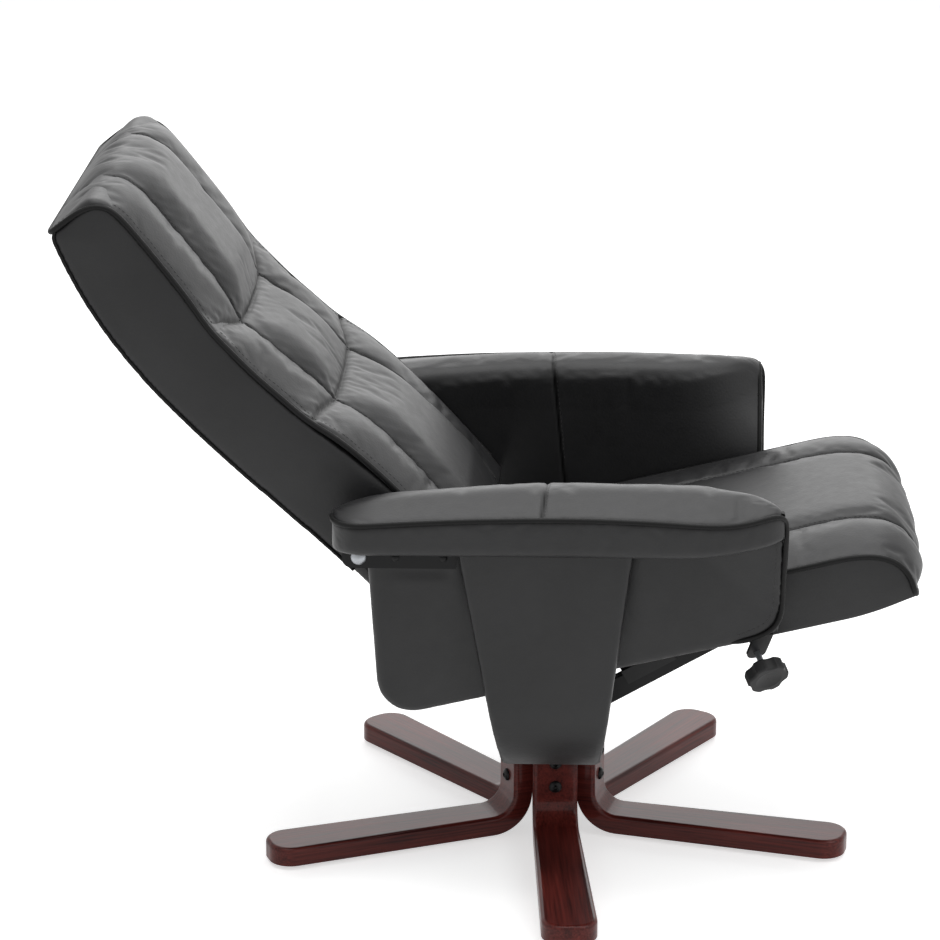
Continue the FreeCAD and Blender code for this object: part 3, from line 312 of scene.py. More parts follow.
def moulded_abs(name):
    """Black ABS from a spark-eroded mould: matt, with a texture of about 1 mm."""
    fixed = {"Base Color": (*linear("#0a0a0b"), 1), "IOR": 1.54, "Specular IOR Level": 0.3}
    material, tree, shader, place = start_material(name, fixed)
    spark = add_node(tree, "ShaderNodeTexNoise", {"Scale": 1 / (1 * MM), "Detail": 3.0}, {"Vector": place})
    relief = add_node(tree, "ShaderNodeBump", {"Strength": 0.3, "Distance": 0.25 * MM}, {"Height": spark})
    rough = add_node(tree, "ShaderNodeMapRange", {"To Min": 0.45, "To Max": 0.62}, {"Value": spark})
    wire(tree, shader, {"Roughness": rough, "Normal": relief})
    return material


def coordinates(mesh):
    """The mesh's points as an array."""
    points = np.empty(len(mesh.vertices) * 3)
    mesh.vertices.foreach_get("co", points)
    return points.reshape(-1, 3)


def move_points(mesh, points):
    """Puts the mesh's points at these places."""
    mesh.vertices.foreach_set("co", np.asarray(points).ravel())
    mesh.update()


def normals(mesh):
    """The mesh's point normals as an array."""
    found = np.empty(len(mesh.vertices) * 3)
    mesh.vertex_normals.foreach_get("vector", found)
    return found.reshape(-1, 3)


def attribute(mesh, name, values=None):
    """Reads a number kept on each point, or writes it."""
    if values is None:
        found = np.empty(len(mesh.vertices))
        mesh.attributes[name].data.foreach_get("value", found)
        return found
    layer = mesh.attributes.get(name) or mesh.attributes.new(name, "FLOAT", "POINT")
    layer.data.foreach_set("value", np.asarray(values, float).ravel())
    return values


def linked(name, data):
    """New object of some data, in the scene."""
    made = bpy.data.objects.new(name, data)
    bpy.context.scene.collection.objects.link(made)
    return made


def new_piece(name, points, faces, edges=()):
    """New mesh object at the origin, with its faces turned outwards."""
    mesh = bpy.data.meshes.new(name)
    mesh.from_pydata([tuple(p) for p in points], list(edges), [tuple(f) for f in faces])
    if faces:
        shape = bmesh.new()
        shape.from_mesh(mesh)
        bmesh.ops.recalc_face_normals(shape, faces=shape.faces)
        shape.to_mesh(mesh)
        shape.free()
        mesh.shade_smooth()
    return linked(name, mesh)


def apply_modifiers(piece):
    """Turns what the modifiers give into the piece's own plain mesh."""
    bpy.context.view_layer.update()
    depsgraph = bpy.context.evaluated_depsgraph_get()
    mesh = bpy.data.meshes.new_from_object(piece.evaluated_get(depsgraph), depsgraph=depsgraph)
    old = piece.data
    piece.modifiers.clear()
    piece.data = mesh
    bpy.data.meshes.remove(old)
    mesh.name = piece.name
    return piece


def subdivided(piece):
    """One level of subdivision, applied."""
    finish = piece.modifiers.new("finish", "SUBSURF")
    finish.levels = finish.render_levels = 1
    return apply_modifiers(piece)


def mirrored_piece(name, source):
    """Copy of a piece on the chair's other side."""
    mesh = source.data.copy()
    mesh.name = name
    points = coordinates(mesh)
    points[:, 1] *= -1
    move_points(mesh, points)
    mesh.flip_normals()
    return linked(name, mesh)


def soft_copy(name, node, voxel, smoothing):
    """Copy of a CAD solid with an even mesh and softened edges."""
    shape = bmesh.new()
    shape.from_mesh(NODES[node].data)
    bmesh.ops.remove_doubles(shape, verts=shape.verts, dist=0.01 * MM)
    mesh = bpy.data.meshes.new(name)
    shape.to_mesh(mesh)
    shape.free()
    piece = linked(name, mesh)
    even = piece.modifiers.new("even", "REMESH")
    even.mode = "VOXEL"
    even.voxel_size = voxel
    soften = piece.modifiers.new("soften", "SMOOTH")
    soften.iterations = smoothing
    apply_modifiers(piece).data.shade_smooth()
    return piece


def swell(piece, pinned, cap):
    """Swells a closed pad by cloth pressure with its sewn points held, and caps how far each point moves."""
    scene = bpy.context.scene
    padding = scene.recliner_padding
    rest = coordinates(piece.data)
    held = piece.vertex_groups.new(name="sewn")
    held.add([int(i) for i in np.flatnonzero(pinned)], 1.0, "REPLACE")
    cloth = piece.modifiers.new("swell", "CLOTH")
    settings = cloth.settings
    settings.quality = 4
    settings.mass = 0.3
    settings.tension_stiffness = settings.compression_stiffness = 12
    settings.bending_stiffness = 0.4
    settings.vertex_group_mass = held.name
    settings.use_pressure = True
    settings.uniform_pressure_force = padding.pressure
    settings.shrink_min = -0.012
    settings.effector_weights.gravity = 0
    cloth.collision_settings.use_collision = False
    cloth.point_cache.frame_start = 1
    cloth.point_cache.frame_end = padding.frames
    for step in range(1, padding.frames + 1):
        scene.frame_set(step)
    depsgraph = bpy.context.evaluated_depsgraph_get()
    shift = coordinates(piece.evaluated_get(depsgraph).data) - rest
    moved = np.linalg.norm(shift, axis=1, keepdims=True)
    shift *= np.minimum(1.0, np.reshape(cap, (-1, 1)) / np.maximum(moved, 1e-9))
    piece.modifiers.remove(cloth)
    piece.vertex_groups.remove(held)
    scene.frame_set(1)
    move_points(piece.data, rest + shift)


def fade(gap, width):
    """1 on a line, fading smoothly to nearly 0 two widths away from it."""
    return np.exp(-((gap / width) ** 2))


def ramp(values, start, span):
    """0 up to a start, then evenly up to 1 over a span, downwards from the start if the span is negative."""
    return np.clip((values - start) / span, 0, 1)


def arc_drop(share):
    """Drop of a quarter circle of radius 1 below its top, at a share of its width."""
    return 1 - np.sqrt(1 - share**2)


def gap_to(points, lines):
    """Distance of each flat point from the nearest of the lines."""
    nearest = np.full(len(points), 1.0)
    for line in lines:
        line = np.asarray(line, float)
        for start, end in zip(line[:-1], line[1:]):
            run = end - start
            share = np.clip((points - start) @ run / (run @ run), 0, 1)
            nearest = np.minimum(nearest, np.linalg.norm(points - start - share[:, None] * run, axis=1))
    return nearest


def smooth_line(knots, count):
    """Evenly spaced points on a smooth curve through the knots."""
    knots = np.asarray(knots, float)
    ends = np.vstack([2 * knots[0] - knots[1], knots, 2 * knots[-1] - knots[-2]])
    dense = []
    for i in range(1, len(knots)):
        p0, p1, p2, p3 = ends[i - 1 : i + 3]
        t = np.linspace(0, 1, 24, endpoint=False)[:, None]
        square, cube = 2 * p0 - 5 * p1 + 4 * p2 - p3, 3 * p1 - p0 - 3 * p2 + p3
        dense.append(0.5 * (2 * p1 + (p2 - p0) * t + square * t**2 + cube * t**3))
    return even_line(np.vstack(dense + [knots[-1:]]), count)


def run_of(line):
    """Distance along a line at each of its points."""
    return np.concatenate([[0], np.cumsum(np.linalg.norm(np.diff(line, axis=0), axis=1))])


def even_line(points, count):
    """The same line with its points evenly spaced."""
    along = run_of(points)
    places = np.linspace(0, along[-1], count)
    return np.column_stack([np.interp(places, along, column) for column in points.T])


def eased(line, spacing):
    """The same line, evenly spaced, with its corners rounded."""
    line = np.asarray(line, float)
    line = even_line(line, int(run_of(line)[-1] / spacing) + 1)
    for _ in range(8):
        line[1:-1] = (line[:-2] + 2 * line[1:-1] + line[2:]) / 4
    return line


def rounded_loop(corners, count):
    """Closed outline of (u, v, radius) corners with arcs, from its first corner round, evenly spaced."""
    outline = []
    total = len(corners)
    for i, (u, v, radius) in enumerate(corners):
        here = np.array((u, v))
        before = np.array(corners[i - 1][:2]) - here
        after = np.array(corners[(i + 1) % total][:2]) - here
        before /= np.linalg.norm(before)
        after /= np.linalg.norm(after)
        half = math.acos(np.clip(before @ after, -1, 1)) / 2
        if radius < 1e-6:
            outline.append(here)
            continue
        middle = before + after
        centre = here + middle / np.linalg.norm(middle) * radius / math.sin(half)
        start = here + before * radius / math.tan(half) - centre
        end = here + after * radius / math.tan(half) - centre
        for share in np.linspace(0, 1, 9):
            spoke = start * (1 - share) + end * share
            outline.append(centre + spoke / np.linalg.norm(spoke) * radius)
    outline.append(outline[0])
    return even_line(np.array(outline), count + 1)[:-1]


def in_back(height, out, across):
    """Points of the leaning back, from its own height, depth and width."""
    return BACK_PIVOT + sum(map(np.multiply.outer, (height, out, across), (BACK_UP, BACK_OUT, ACROSS)))


def in_seat(along, up, across):
    """Points of the pitched seat, from its own length, height and width."""
    return SEAT_REAR + sum(map(np.multiply.outer, (along, up, across), (SEAT_ALONG, SEAT_UP, ACROSS)))


class Bed:
    """The curved face that a pad lies on: a smooth side line, swept over a width."""

    def __init__(self, place, knots, half, step, outward=1):
        self.place = place
        self.line = smooth_line(knots, 400)
        tangent = np.gradient(self.line, axis=0)
        tangent /= np.linalg.norm(tangent, axis=1, keepdims=True)
        self.normal = outward * np.column_stack([-tangent[:, 1], tangent[:, 0]])
        self.run = run_of(self.line)
        self.length = self.run[-1]
        self.half = half
        self.rows = int(self.length / step) + 1
        self.columns = int(2 * half / step) + 1

    def at(self, along, across, lift):
        """Points at a distance along the bed, across it, and lifted off it."""
        base = [np.interp(along, self.run, self.line[:, k]) for k in (0, 1)]
        aim = [np.interp(along, self.run, self.normal[:, k]) for k in (0, 1)]
        return self.place(base[0] + lift * aim[0], base[1] + lift * aim[1], across)

    def along_at(self, first):
        """Distance along the bed at which its first coordinate reaches a value, on the way out."""
        return self.run[np.argmax(self.line[:, 0] >= first)]

    def edge(self, along, sunk, end_lift):
        """Line round the bed: along its near side, across its end and back along its far side."""
        out, over = self.half + 2.5 * MM, self.half - 6 * MM
        near, far = (self.at(along, side * out, sunk) for side in (-1, 1))
        end = self.at(self.length, np.linspace(-over, over, 80), end_lift)
        return eased(np.vstack([near, end, far[::-1]]), 4 * MM)


def closed_sheet(top, under):
    """Points and faces of a closed pad between two grids of points."""
    rows, columns = top.shape[:2]
    count = rows * columns
    grid = np.arange(count).reshape(rows, columns)
    quads = np.stack([grid[:-1, :-1], grid[1:, :-1], grid[1:, 1:], grid[:-1, 1:]], axis=-1).reshape(-1, 4)
    rim = np.concatenate([grid[0, :-1], grid[:-1, -1], grid[-1, :0:-1], grid[:0:-1, 0]])
    walls = [(a, b, b + count, a + count) for a, b in zip(rim, np.roll(rim, -1))]
    faces = [tuple(q) for q in quads] + [tuple(q[::-1] + count) for q in quads] + walls
    return np.vstack([top.reshape(-1, 3), under.reshape(-1, 3)]), faces


def tube_faces(rows, around):
    """Faces of a closed tube whose points come ring by ring."""
    index = np.arange(rows * around).reshape(rows, around)
    following = np.roll(index, -1, axis=1)
    quads = np.stack([index[:-1], index[1:], following[1:], following[:-1]], axis=-1).reshape(-1, 4)
    return [tuple(q) for q in quads] + [tuple(index[0]), tuple(index[-1][::-1])]


def quilted_pad(name, bed, height, seams, depth, cap):
    """Closed pad on a bed, height(along, across, gap) high, swollen up to cap(along, across) and grooved."""
    sewing = bpy.context.scene.recliner_sewing
    rows, columns = np.linspace(0, bed.length, bed.rows), np.linspace(-bed.half, bed.half, bed.columns)
    along, across = (grid.ravel() for grid in np.meshgrid(rows, columns, indexing="ij"))
    gap = gap_to(np.column_stack([along, across]), seams)
    shape = (bed.rows, bed.columns, 3)
    top = bed.at(along, across, height(along, across, gap)).reshape(shape)
    under = bed.at(along, across, -depth).reshape(shape)
    piece = new_piece(name, *closed_sheet(top, under))
    count = len(along)
    attribute(piece.data, "along", np.tile(along, 2))
    attribute(piece.data, "across", np.tile(across, 2))
    attribute(piece.data, "faceside", np.repeat((1.0, 0.0), count))
    inset = np.minimum(bed.half - np.abs(across), np.minimum(along, bed.length - along))
    pinned = np.concatenate([(inset < 1 * MM) | (gap < sewing.groove_width), np.ones(count, bool)])
    swell(piece, pinned, np.tile(np.broadcast_to(cap(along, across), count), 2))
    subdivided(piece)
    groove(piece, bed, seams)
    return piece


def groove(piece, bed, seams):
    """Pulls the seams in, gathers the skin beside them and marks them for the leather's painted shade."""
    sewing = bpy.context.scene.recliner_sewing
    mesh = piece.data
    along, across = attribute(mesh, "along"), attribute(mesh, "across")
    faceside = np.clip(attribute(mesh, "faceside") * 2 - 1, 0, 1)
    gap = gap_to(np.column_stack([along, across]), seams)
    crease = fade(gap, sewing.groove_width)
    pull = sewing.groove_depth * crease
    # Gathers beside a seam: about 26 mm apart, fading 16 mm away from it
    uneven = 2.2 * np.sin(41 * along) + 1.7 * np.sin(57 * across)
    wave = np.sin(2 * np.pi * (along + across) / (26 * MM) + uneven)
    pull += 0.5 * MM * np.exp(-gap / (16 * MM)) * (1 - fade(gap, 4 * MM)) * wave
    outward = bed.at(along, across, 1.0) - bed.at(along, across, 0.0)
    move_points(mesh, coordinates(mesh) - outward * (pull * faceside)[:, None])
    # Mask of the painted shade in the seams' grooves, for the leather
    attribute(mesh, "seam", crease * faceside)
    for name in ("along", "across", "faceside"):
        mesh.attributes.remove(mesh.attributes[name])


def input_of(tree, name):
    """Identifier of a node tree's named input."""
    return next(
        item.identifier
        for item in tree.interface.items_tree
        if item.item_type == "SOCKET" and item.in_out == "INPUT" and item.name == name
    )


def start_tree(name, inputs):
    """New geometry tree with named inputs, and its first and last nodes."""
    tree = bpy.data.node_groups.new(name, "GeometryNodeTree")
    tree.interface.new_socket("Geometry", in_out="INPUT", socket_type="NodeSocketGeometry")
    for label, kind in inputs.items():
        tree.interface.new_socket(label, in_out="INPUT", socket_type=kind)
    tree.interface.new_socket("Geometry", in_out="OUTPUT", socket_type="NodeSocketGeometry")
    return tree, add_node(tree, "NodeGroupInput").outputs, add_node(tree, "NodeGroupOutput").inputs


def end_tree(tree, given, result, shape):
    """Real, smooth geometry in the given material."""
    real = add_node(tree, "GeometryNodeRealizeInstances", links={"Geometry": shape})
    smooth = add_node(tree, "GeometryNodeSetShadeSmooth", links={"Geometry": real})
    covered = {"Geometry": smooth, "Material": given["Material"]}
    finished = add_node(tree, "GeometryNodeSetMaterial", links=covered)
    tree.links.new(finished.outputs[0], result["Geometry"])
    return tree


def piping_tree():
    """A round tube along the edges of a line."""
    inputs = {"Radius": "NodeSocketFloat", "Material": "NodeSocketMaterial"}
    tree, given, result = start_tree("piping", inputs)
    line = add_node(tree, "GeometryNodeMeshToCurve", links={"Mesh": given["Geometry"]})
    section = add_node(
        tree, "GeometryNodeCurvePrimitiveCircle", {"Resolution": 10}, {"Radius": given["Radius"]}
    )
    swept = {"Curve": line, "Profile Curve": section}
    tube = add_node(tree, "GeometryNodeCurveToMesh", {"Fill Caps": True}, swept)
    return end_tree(tree, given, result, tube)


def stitch_tree():
    """Stitches of thread at an even pitch along the edges of a line, each a little different."""
    inputs = dict.fromkeys(("Pitch", "Length", "Thickness"), "NodeSocketFloat")
    inputs |= {"Seed": "NodeSocketInt", "Material": "NodeSocketMaterial"}
    tree, given, result = start_tree("stitches", inputs)
    line = add_node(tree, "GeometryNodeMeshToCurve", links={"Mesh": given["Geometry"]})
    spaced = {"Curve": line, "Length": given["Pitch"]}
    places = add_node(tree, "GeometryNodeResampleCurve", links=spaced, mode="LENGTH")
    bead = add_node(tree, "GeometryNodeMeshUVSphere", {"Segments": 8, "Rings": 5, "Radius": 0.5})
    sizes = {"X": given["Length"], "Y": given["Thickness"], "Z": given["Thickness"]}
    size = add_node(tree, "ShaderNodeCombineXYZ", links=sizes)
    loop = add_node(tree, "GeometryNodeTransform", links={"Geometry": bead, "Scale": size})
    run = add_node(tree, "GeometryNodeInputTangent")
    aim = add_node(tree, "FunctionNodeAlignRotationToVector", links={"Vector": run}, axis="X")
    tension = add_node(
        tree, "FunctionNodeRandomValue", {2: 0.88, 3: 1.08}, {"Seed": given["Seed"]}, data_type="FLOAT"
    ).outputs[1]
    laid = {"Points": places, "Instance": loop, "Rotation": aim, "Scale": tension}
    return end_tree(tree, given, result, add_node(tree, "GeometryNodeInstanceOnPoints", links=laid))


def bolt_tree():
    """A bolt's head at each point, turned to the way kept on the point."""
    inputs = {"Head": "NodeSocketObject", "Material": "NodeSocketMaterial"}
    tree, given, result = start_tree("bolt_heads", inputs)
    head = add_node(tree, "GeometryNodeObjectInfo", links={"Object": given["Head"]}).outputs["Geometry"]
    way = add_node(tree, "GeometryNodeInputNamedAttribute", {"Name": "way"}, data_type="FLOAT_VECTOR")
    aim = add_node(tree, "FunctionNodeAlignRotationToVector", links={"Vector": way}, axis="Z")
    placed = {"Points": given["Geometry"], "Instance": head, "Rotation": aim}
    return end_tree(tree, given, result, add_node(tree, "GeometryNodeInstanceOnPoints", links=placed))


def run_tree(piece, name, make, values):
    """Turns a piece into the plain mesh that a geometry tree, made at its first use, makes of it."""
    tree = bpy.data.node_groups.get(name) or make()
    maker = piece.modifiers.new(name, "NODES")
    maker.node_group = tree
    for label, value in values.items():
        maker[input_of(tree, label)] = value
    return apply_modifiers(piece)


def lined_piece(name, lines, closed=False):
    """New piece of edges along these lines of points."""
    points, edges = [], []
    for line in lines:
        first = len(points)
        points.extend(line)
        edges.extend((first + i, first + i + 1) for i in range(len(line) - 1))
        if closed:
            edges.append((len(points) - 1, first))
    return new_piece(name, points, [], edges)


def pipe(name, lines, body, closed=False, share=1.0):
    """Piping along these lines, riding on a body."""
    material = cached(piping_leather)
    radius = bpy.context.scene.recliner_sewing.piping_radius * share
    piece = lined_piece(name, lines, closed)
    run_tree(piece, "piping", piping_tree, {"Radius": radius, "Material": material})
    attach(piece, body)
    return piece


def stitch(name, lines, body, seed):
    """Rows of stitches along these lines, riding on a body."""
    sewing = bpy.context.scene.recliner_sewing
    values = {
        "Pitch": sewing.stitch_pitch,
        "Length": sewing.stitch_length,
        "Thickness": sewing.stitch_thickness,
        "Seed": seed,
        "Material": cached(polyester_thread),
    }
    piece = run_tree(lined_piece(name, lines), "stitches", stitch_tree, values)
    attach(piece, body)
    return piece


def surface_of(piece):
    """Search tree of a finished piece's faces."""
    return BVHTree.FromPolygons(
        [v.co for v in piece.data.vertices], [tuple(p.vertices) for p in piece.data.polygons]
    )


def met(surface, starts, way, reach):
    """Places where rays from these starts meet a surface, without those that miss it."""
    hits = [surface.ray_cast(Vector(start), Vector(way), reach)[0] for start in starts]
    return [hit for hit in hits if hit is not None]


def laid_on(surface, bed, flat_line, spacing):
    """A flat line of a bed, laid on the finished pad's surface."""
    flat_line = np.asarray(flat_line, float)
    flat = even_line(flat_line, max(2, int(run_of(flat_line)[-1] / spacing) + 1))
    reach = 0.09
    high, low = (bed.at(flat[:, 0], flat[:, 1], lift) for lift in (reach, 0.0))
    return [hit for start, end in zip(high, low) for hit in met(surface, [start], end - start, 2 * reach)]


def beside(line, setback):
    """The same flat line, moved sideways."""
    line = np.asarray(line, float)
    run = np.gradient(line, axis=0)
    run /= np.linalg.norm(run, axis=1, keepdims=True)
    return line + setback * np.column_stack([-run[:, 1], run[:, 0]])


def upholster(piece, body, fill, *nodes):
    """Leather on a padded piece that stands for CAD nodes and rides on a body."""
    piece.data.materials.clear()
    piece.data.materials.append(cached(pu_leather))
    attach(piece, body)
    if nodes:
        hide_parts(*nodes)
    return piece


def paint(material, *nodes):
    """Gives CAD nodes a finish."""
    for node in nodes:
        NODES[node].material_slots[0].material = material


class RECLINER_OT_back_front(bpy.types.Operator):
    """Quilted front pad of the back, with its piping and stitches"""

    bl_idname = "recliner.back_front"
    bl_label = "Back front pad"

    def execute(self, context):
        padding = context.scene.recliner_padding
        setback = context.scene.recliner_sewing.stitch_setback
        knots = [
            (-0.150, 0.082), (-0.080, 0.083), (0.000, 0.083), (0.065, 0.080), (0.130, 0.0725),
            (0.195, 0.060), (0.260, 0.0535), (0.330, 0.0565), (0.400, 0.063), (0.470, 0.069),
            (0.512, 0.0705), (0.531, 0.065), (0.543, 0.050), (0.549, 0.025), (0.552, -0.010),
        ]
        half, inner = 0.248, 0.121
        bed = Bed(in_back, knots, half, 6.2 * MM)
        upper, lower = bed.along_at(0.292), bed.along_at(0.137)
        head, brow = bed.along_at(0.47), bed.along_at(0.505)

        def long_seam(side):
            return [
                (0.0, side * 0.150), (lower * 0.55, side * 0.135), (lower, side * inner),
                ((lower + upper) / 2, side * (inner + 0.006)), (upper, side * inner),
                (head, side * (inner + 0.004)), (bed.length, side * (inner - 0.002)),
            ]

        def crescent(level, rise, side):
            return [
                (level, side * inner), (level + rise * 0.35, side * 0.160),
                (level + rise * 0.75, side * 0.200), (level + rise, side * half),
            ]

        long_seams = [smooth_line(long_seam(side), 60) for side in (-1, 1)]
        cross_seams = [
            smooth_line([(level, -inner), (level - 0.003, 0.0), (level, inner)], 16)
            for level in (upper, lower)
        ]
        crescents = [
            smooth_line(crescent(level, rise, side), 12)
            for level, rise in ((upper, 0.034), (lower, 0.022))
            for side in (-1, 1)
        ]
        pulled = cross_seams + crescents

        def fullness(along):
            """Full along the back, thinning over the head to its rear edge and at the foot."""
            over = ramp(along, brow, bed.length - brow)
            return (1 - 0.92 * over**0.8) * np.clip(0.35 + along / 0.12, 0, 1)

        def edge(across):
            """The bolsters slope gently down to the piping."""
            return np.sin(ramp(np.abs(across), half, -0.125) * math.pi / 2)

        def dip(along, across):
            """Where the cross seams pull the pad in."""
            return fade(gap_to(np.column_stack([along, across]), pulled), 0.036)

        def height(along, across, gap):
            puff = 1 - fade(gap, 0.032)
            crest = np.where(np.abs(across) < inner, 0.0115, 0.0055)
            lift = (0.0115 + crest * puff) * (1 - 0.7 * dip(along, across))
            return 0.0004 + edge(across) * fullness(along) * lift

        def cap(along, across):
            return padding.back_swell * np.clip(fullness(along), 0.15, 1) * (0.3 + 0.7 * edge(across))

        pad = quilted_pad("back_front_pad", bed, height, long_seams + pulled, 5 * MM, cap)
        upholster(pad, "back", 0.75, "back_cushion")
        surface = surface_of(pad)
        hem = half - 0.011
        rows = [beside(seam, side * setback) for seam in long_seams for side in (-1, 1)]
        rows += [[(0.02, side * hem), (bed.length - 0.01, side * hem)] for side in (-1, 1)]
        rows = [laid_on(surface, bed, row, 2 * MM) for row in rows]
        stitch("back_stitches", [row for row in rows if len(row) > 2], "back", 11)
        along = np.linspace(0.02, bed.length - 0.004, 170)
        sunk = -0.0015 - 0.0035 * dip(along, np.full(len(along), half))
        pipe("back_edge_piping", [bed.edge(along, sunk, -0.001)], "back")
        return {"FINISHED"}


class RECLINER_OT_back_body(bpy.types.Operator):
    """Boxed sides of the back with a padded rear panel and its piping"""

    bl_idname = "recliner.back_body"
    bl_label = "Back sides and rear"

    def execute(self, context):
        body = soft_copy("back_boxing", "back_shell", 5.5 * MM, 6)
        points = coordinates(body.data)
        offset = points - BACK_PIVOT
        height, out, across = offset @ BACK_UP, offset @ BACK_OUT, offset[:, 1]
        rear = [
            (-0.150, -0.034), (0.0, -0.034), (0.13, -0.047), (0.260, -0.054), (0.40, -0.041), (0.552, -0.008),
        ]
        front = [(-0.150, 0.083), (0.0, 0.083), (0.13, 0.0725), (0.260, 0.0535), (0.400, 0.063), (0.52, 0.07)]
        head = [rear[-1], (0.545, 0.05), front[-1]]
        outline = [smooth_line(rear, 40), smooth_line(front, 40), head]
        gap = gap_to(np.column_stack([height, out]), outline)
        bulge = 4.5 * MM * (1 - fade(gap, 0.028)) * ramp(np.abs(across), 0.240, 0.010)
        # The steel arms lie flat on the lower sides
        points[:, 1] += np.sign(across) * bulge * ramp(height, 0.090, 0.05)
        move_points(body.data, points)
        upholster(body, "back", 0.5, "back_shell")

        surface = surface_of(body)

        def rear_face(heights, across):
            """Places where the rear of the boxed back is met from behind."""
            return np.array(met(surface, in_back(heights, -0.2, across), BACK_OUT, 0.4))

        levels = np.linspace(-0.140, 0.524, 16)
        widths = (0.0, 0.08, 0.15, 0.19, 0.215, 0.226)
        faces = [(rear_face(levels, width) - BACK_PIVOT) @ BACK_OUT for width in widths]
        knots = np.column_stack([levels, np.min(faces, axis=0) + 0.001])
        bed = Bed(in_back, knots, widths[-1], 8 * MM, outward=-1)

        def padded(along, across, gap):
            sides, ends = bed.half - np.abs(across), np.minimum(along, bed.length - along)
            return 0.0005 + 0.010 * (1 - fade(sides, 0.05)) * (1 - fade(ends, 0.05))

        no_seams = [[(-1.0, 0.0), (-0.9, 0.0)]]
        panel = quilted_pad("back_rear_panel", bed, padded, no_seams, 3 * MM, lambda along, across: 3 * MM)
        upholster(panel, "back", 0.3, "back_rear_cover")
        lap, width = np.linspace(0.0, bed.length, 90), np.linspace(-bed.half, bed.half, 60)
        ring = [bed.at(lap, -bed.half, 0.001), bed.at(bed.length, width[1:-1], 0.001)]
        ring += [bed.at(lap[::-1], bed.half, 0.001), bed.at(0.0, width[-2:0:-1], 0.001)]
        pipe("back_rear_piping", [np.vstack(ring)], "back", True, 0.75)
        edges = [
            rear_face(np.linspace(-0.02, 0.548, 120), sign * 0.2455) + sign * 3 * MM * ACROSS
            for sign in SIDES.values()
        ]
        pipe("back_heel_piping", edges, "back", share=0.6)
        return {"FINISHED"}


class RECLINER_OT_seat(bpy.types.Operator):
    """Seat pad that rolls over its front, with boxed sides, piping and stitches"""

    bl_idname = "recliner.seat"
    bl_label = "Seat"

    def execute(self, context):
        padding = context.scene.recliner_padding
        setback = context.scene.recliner_sewing.stitch_setback
        knots = [
            (0.000, 0.060), (0.004, 0.074), (0.016, 0.081), (0.060, 0.082), (0.160, 0.082), (0.300, 0.082),
            (0.400, 0.083), (0.457, 0.083), (0.488, 0.0785), (0.507, 0.071), (0.522, 0.058), (0.530, 0.042),
            (0.5325, 0.026), (0.532, 0.0125),
        ]
        half, inner = 0.2495, 0.138
        bed = Bed(in_seat, knots, half, 6.2 * MM)
        bowed = ((0, 0.0), (0.5, 0.004), (1, 0.0))
        seams = [
            smooth_line([(share * bed.length, side * (inner + bow)) for share, bow in bowed], 60)
            for side in (-1, 1)
        ]

        def height(along, across, gap):
            shoulder = np.sin(ramp(np.abs(across), half, -0.095) * math.pi / 2)
            ends = np.clip(np.minimum(along / 0.030, (bed.length - along) / 0.014), 0, 1)
            crown = 0.0025 * (1 - (across / half) ** 2)
            lift = 0.0125 + crown + 0.0035 * (1 - fade(gap, 0.024))
            return 0.0004 + shoulder * (1 - arc_drop(1 - ends)) * lift

        pad = quilted_pad("seat_pad", bed, height, seams, 4 * MM, lambda along, across: padding.seat_swell)
        upholster(pad, "seat", 0.7, "seat_cushion")
        surface = surface_of(pad)
        rows = [beside(seam, side * setback) for seam in seams for side in (-1, 1)]
        rows = [laid_on(surface, bed, row, 2 * MM) for row in rows]
        stitch("seat_stitches", [row for row in rows if len(row) > 2], "seat", 23)
        along = np.linspace(0.02, bed.length - 0.003, 150)
        pipe("seat_edge_piping", [bed.edge(along, -0.0015, 0.001)], "seat")

        toe = smooth_line([(0.036, 0.001), (0.15, 0.0), (0.40, 0.0), (0.47, 0.002), (0.531, 0.0125)], 80)
        rim = even_line(bed.line[int(0.06 * len(bed.line)) :], 80)
        ends = np.clip(np.minimum(np.arange(80), 79 - np.arange(80)) / 5, 0, 1)
        for side, sign in SIDES.items():
            rows_up = []
            for share in np.linspace(0, 1, 14):
                line = toe * (1 - share) + rim * share
                swollen = 2.0 * MM * math.sin(math.pi * share) if share < 1 else 0.0
                rows_up.append(in_seat(line[:, 0], line[:, 1], sign * (0.2494 + swollen * ends)))
            outer = np.array(rows_up)
            inside = outer.copy()
            inside[:, :, 1] = sign * 0.245
            band = new_piece(f"seat_band_{side}", *closed_sheet(outer, inside))
            upholster(subdivided(band), "seat", 0.4)
        under = soft_copy("seat_frame_cover", "seat_frame", 4.0 * MM, 10)
        points = coordinates(under.data)
        offset = points - SEAT_REAR
        ease = ramp(offset @ SEAT_ALONG, 0.485, 0.04) * ramp(offset @ SEAT_UP, 0.015, 0.03)
        points -= np.multiply.outer(0.016 * ease, SEAT_ALONG)
        # The boxed sides lie over the frame's own sides
        points[:, 1] *= 0.98
        move_points(under.data, points)
        under.data.materials.append(cached(pu_leather))
        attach(under, "seat")
        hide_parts("seat_frame")
        return {"FINISHED"}


def drawn(knots):
    """A smooth line through knots, as a function of its first coordinate."""
    line = smooth_line(knots, 300)
    return lambda place: np.interp(place, line[:, 0], line[:, 1])


ARM_REAR, ARM_TIP, ARM_INNER, ARM_OUTER = -0.272, 0.288, 0.2605, 0.371
ARM_UNDER, ARM_TOP = 0.5065, 0.575
# Beyond this far across, the seam over an arm's top leans to the rear
ARM_SHOULDER = 0.285
# At its tip the front of an arm curls outwards, and its underside lifts, by this much
ARM_CURL, ARM_LIFT = 0.062, 0.020


def arm_flare(place):
    """How far the front of an arm has curled outwards, from 0 to 1 at its tip."""
    return ramp(place, 0.160, ARM_TIP - 0.160) ** 2


def arm_fade(level):
    """How much of the curl is left at a height, from 0 low down to 1 at the top."""
    share = ramp(level, 0.43, 0.145)
    return share * share * (3 - 2 * share)


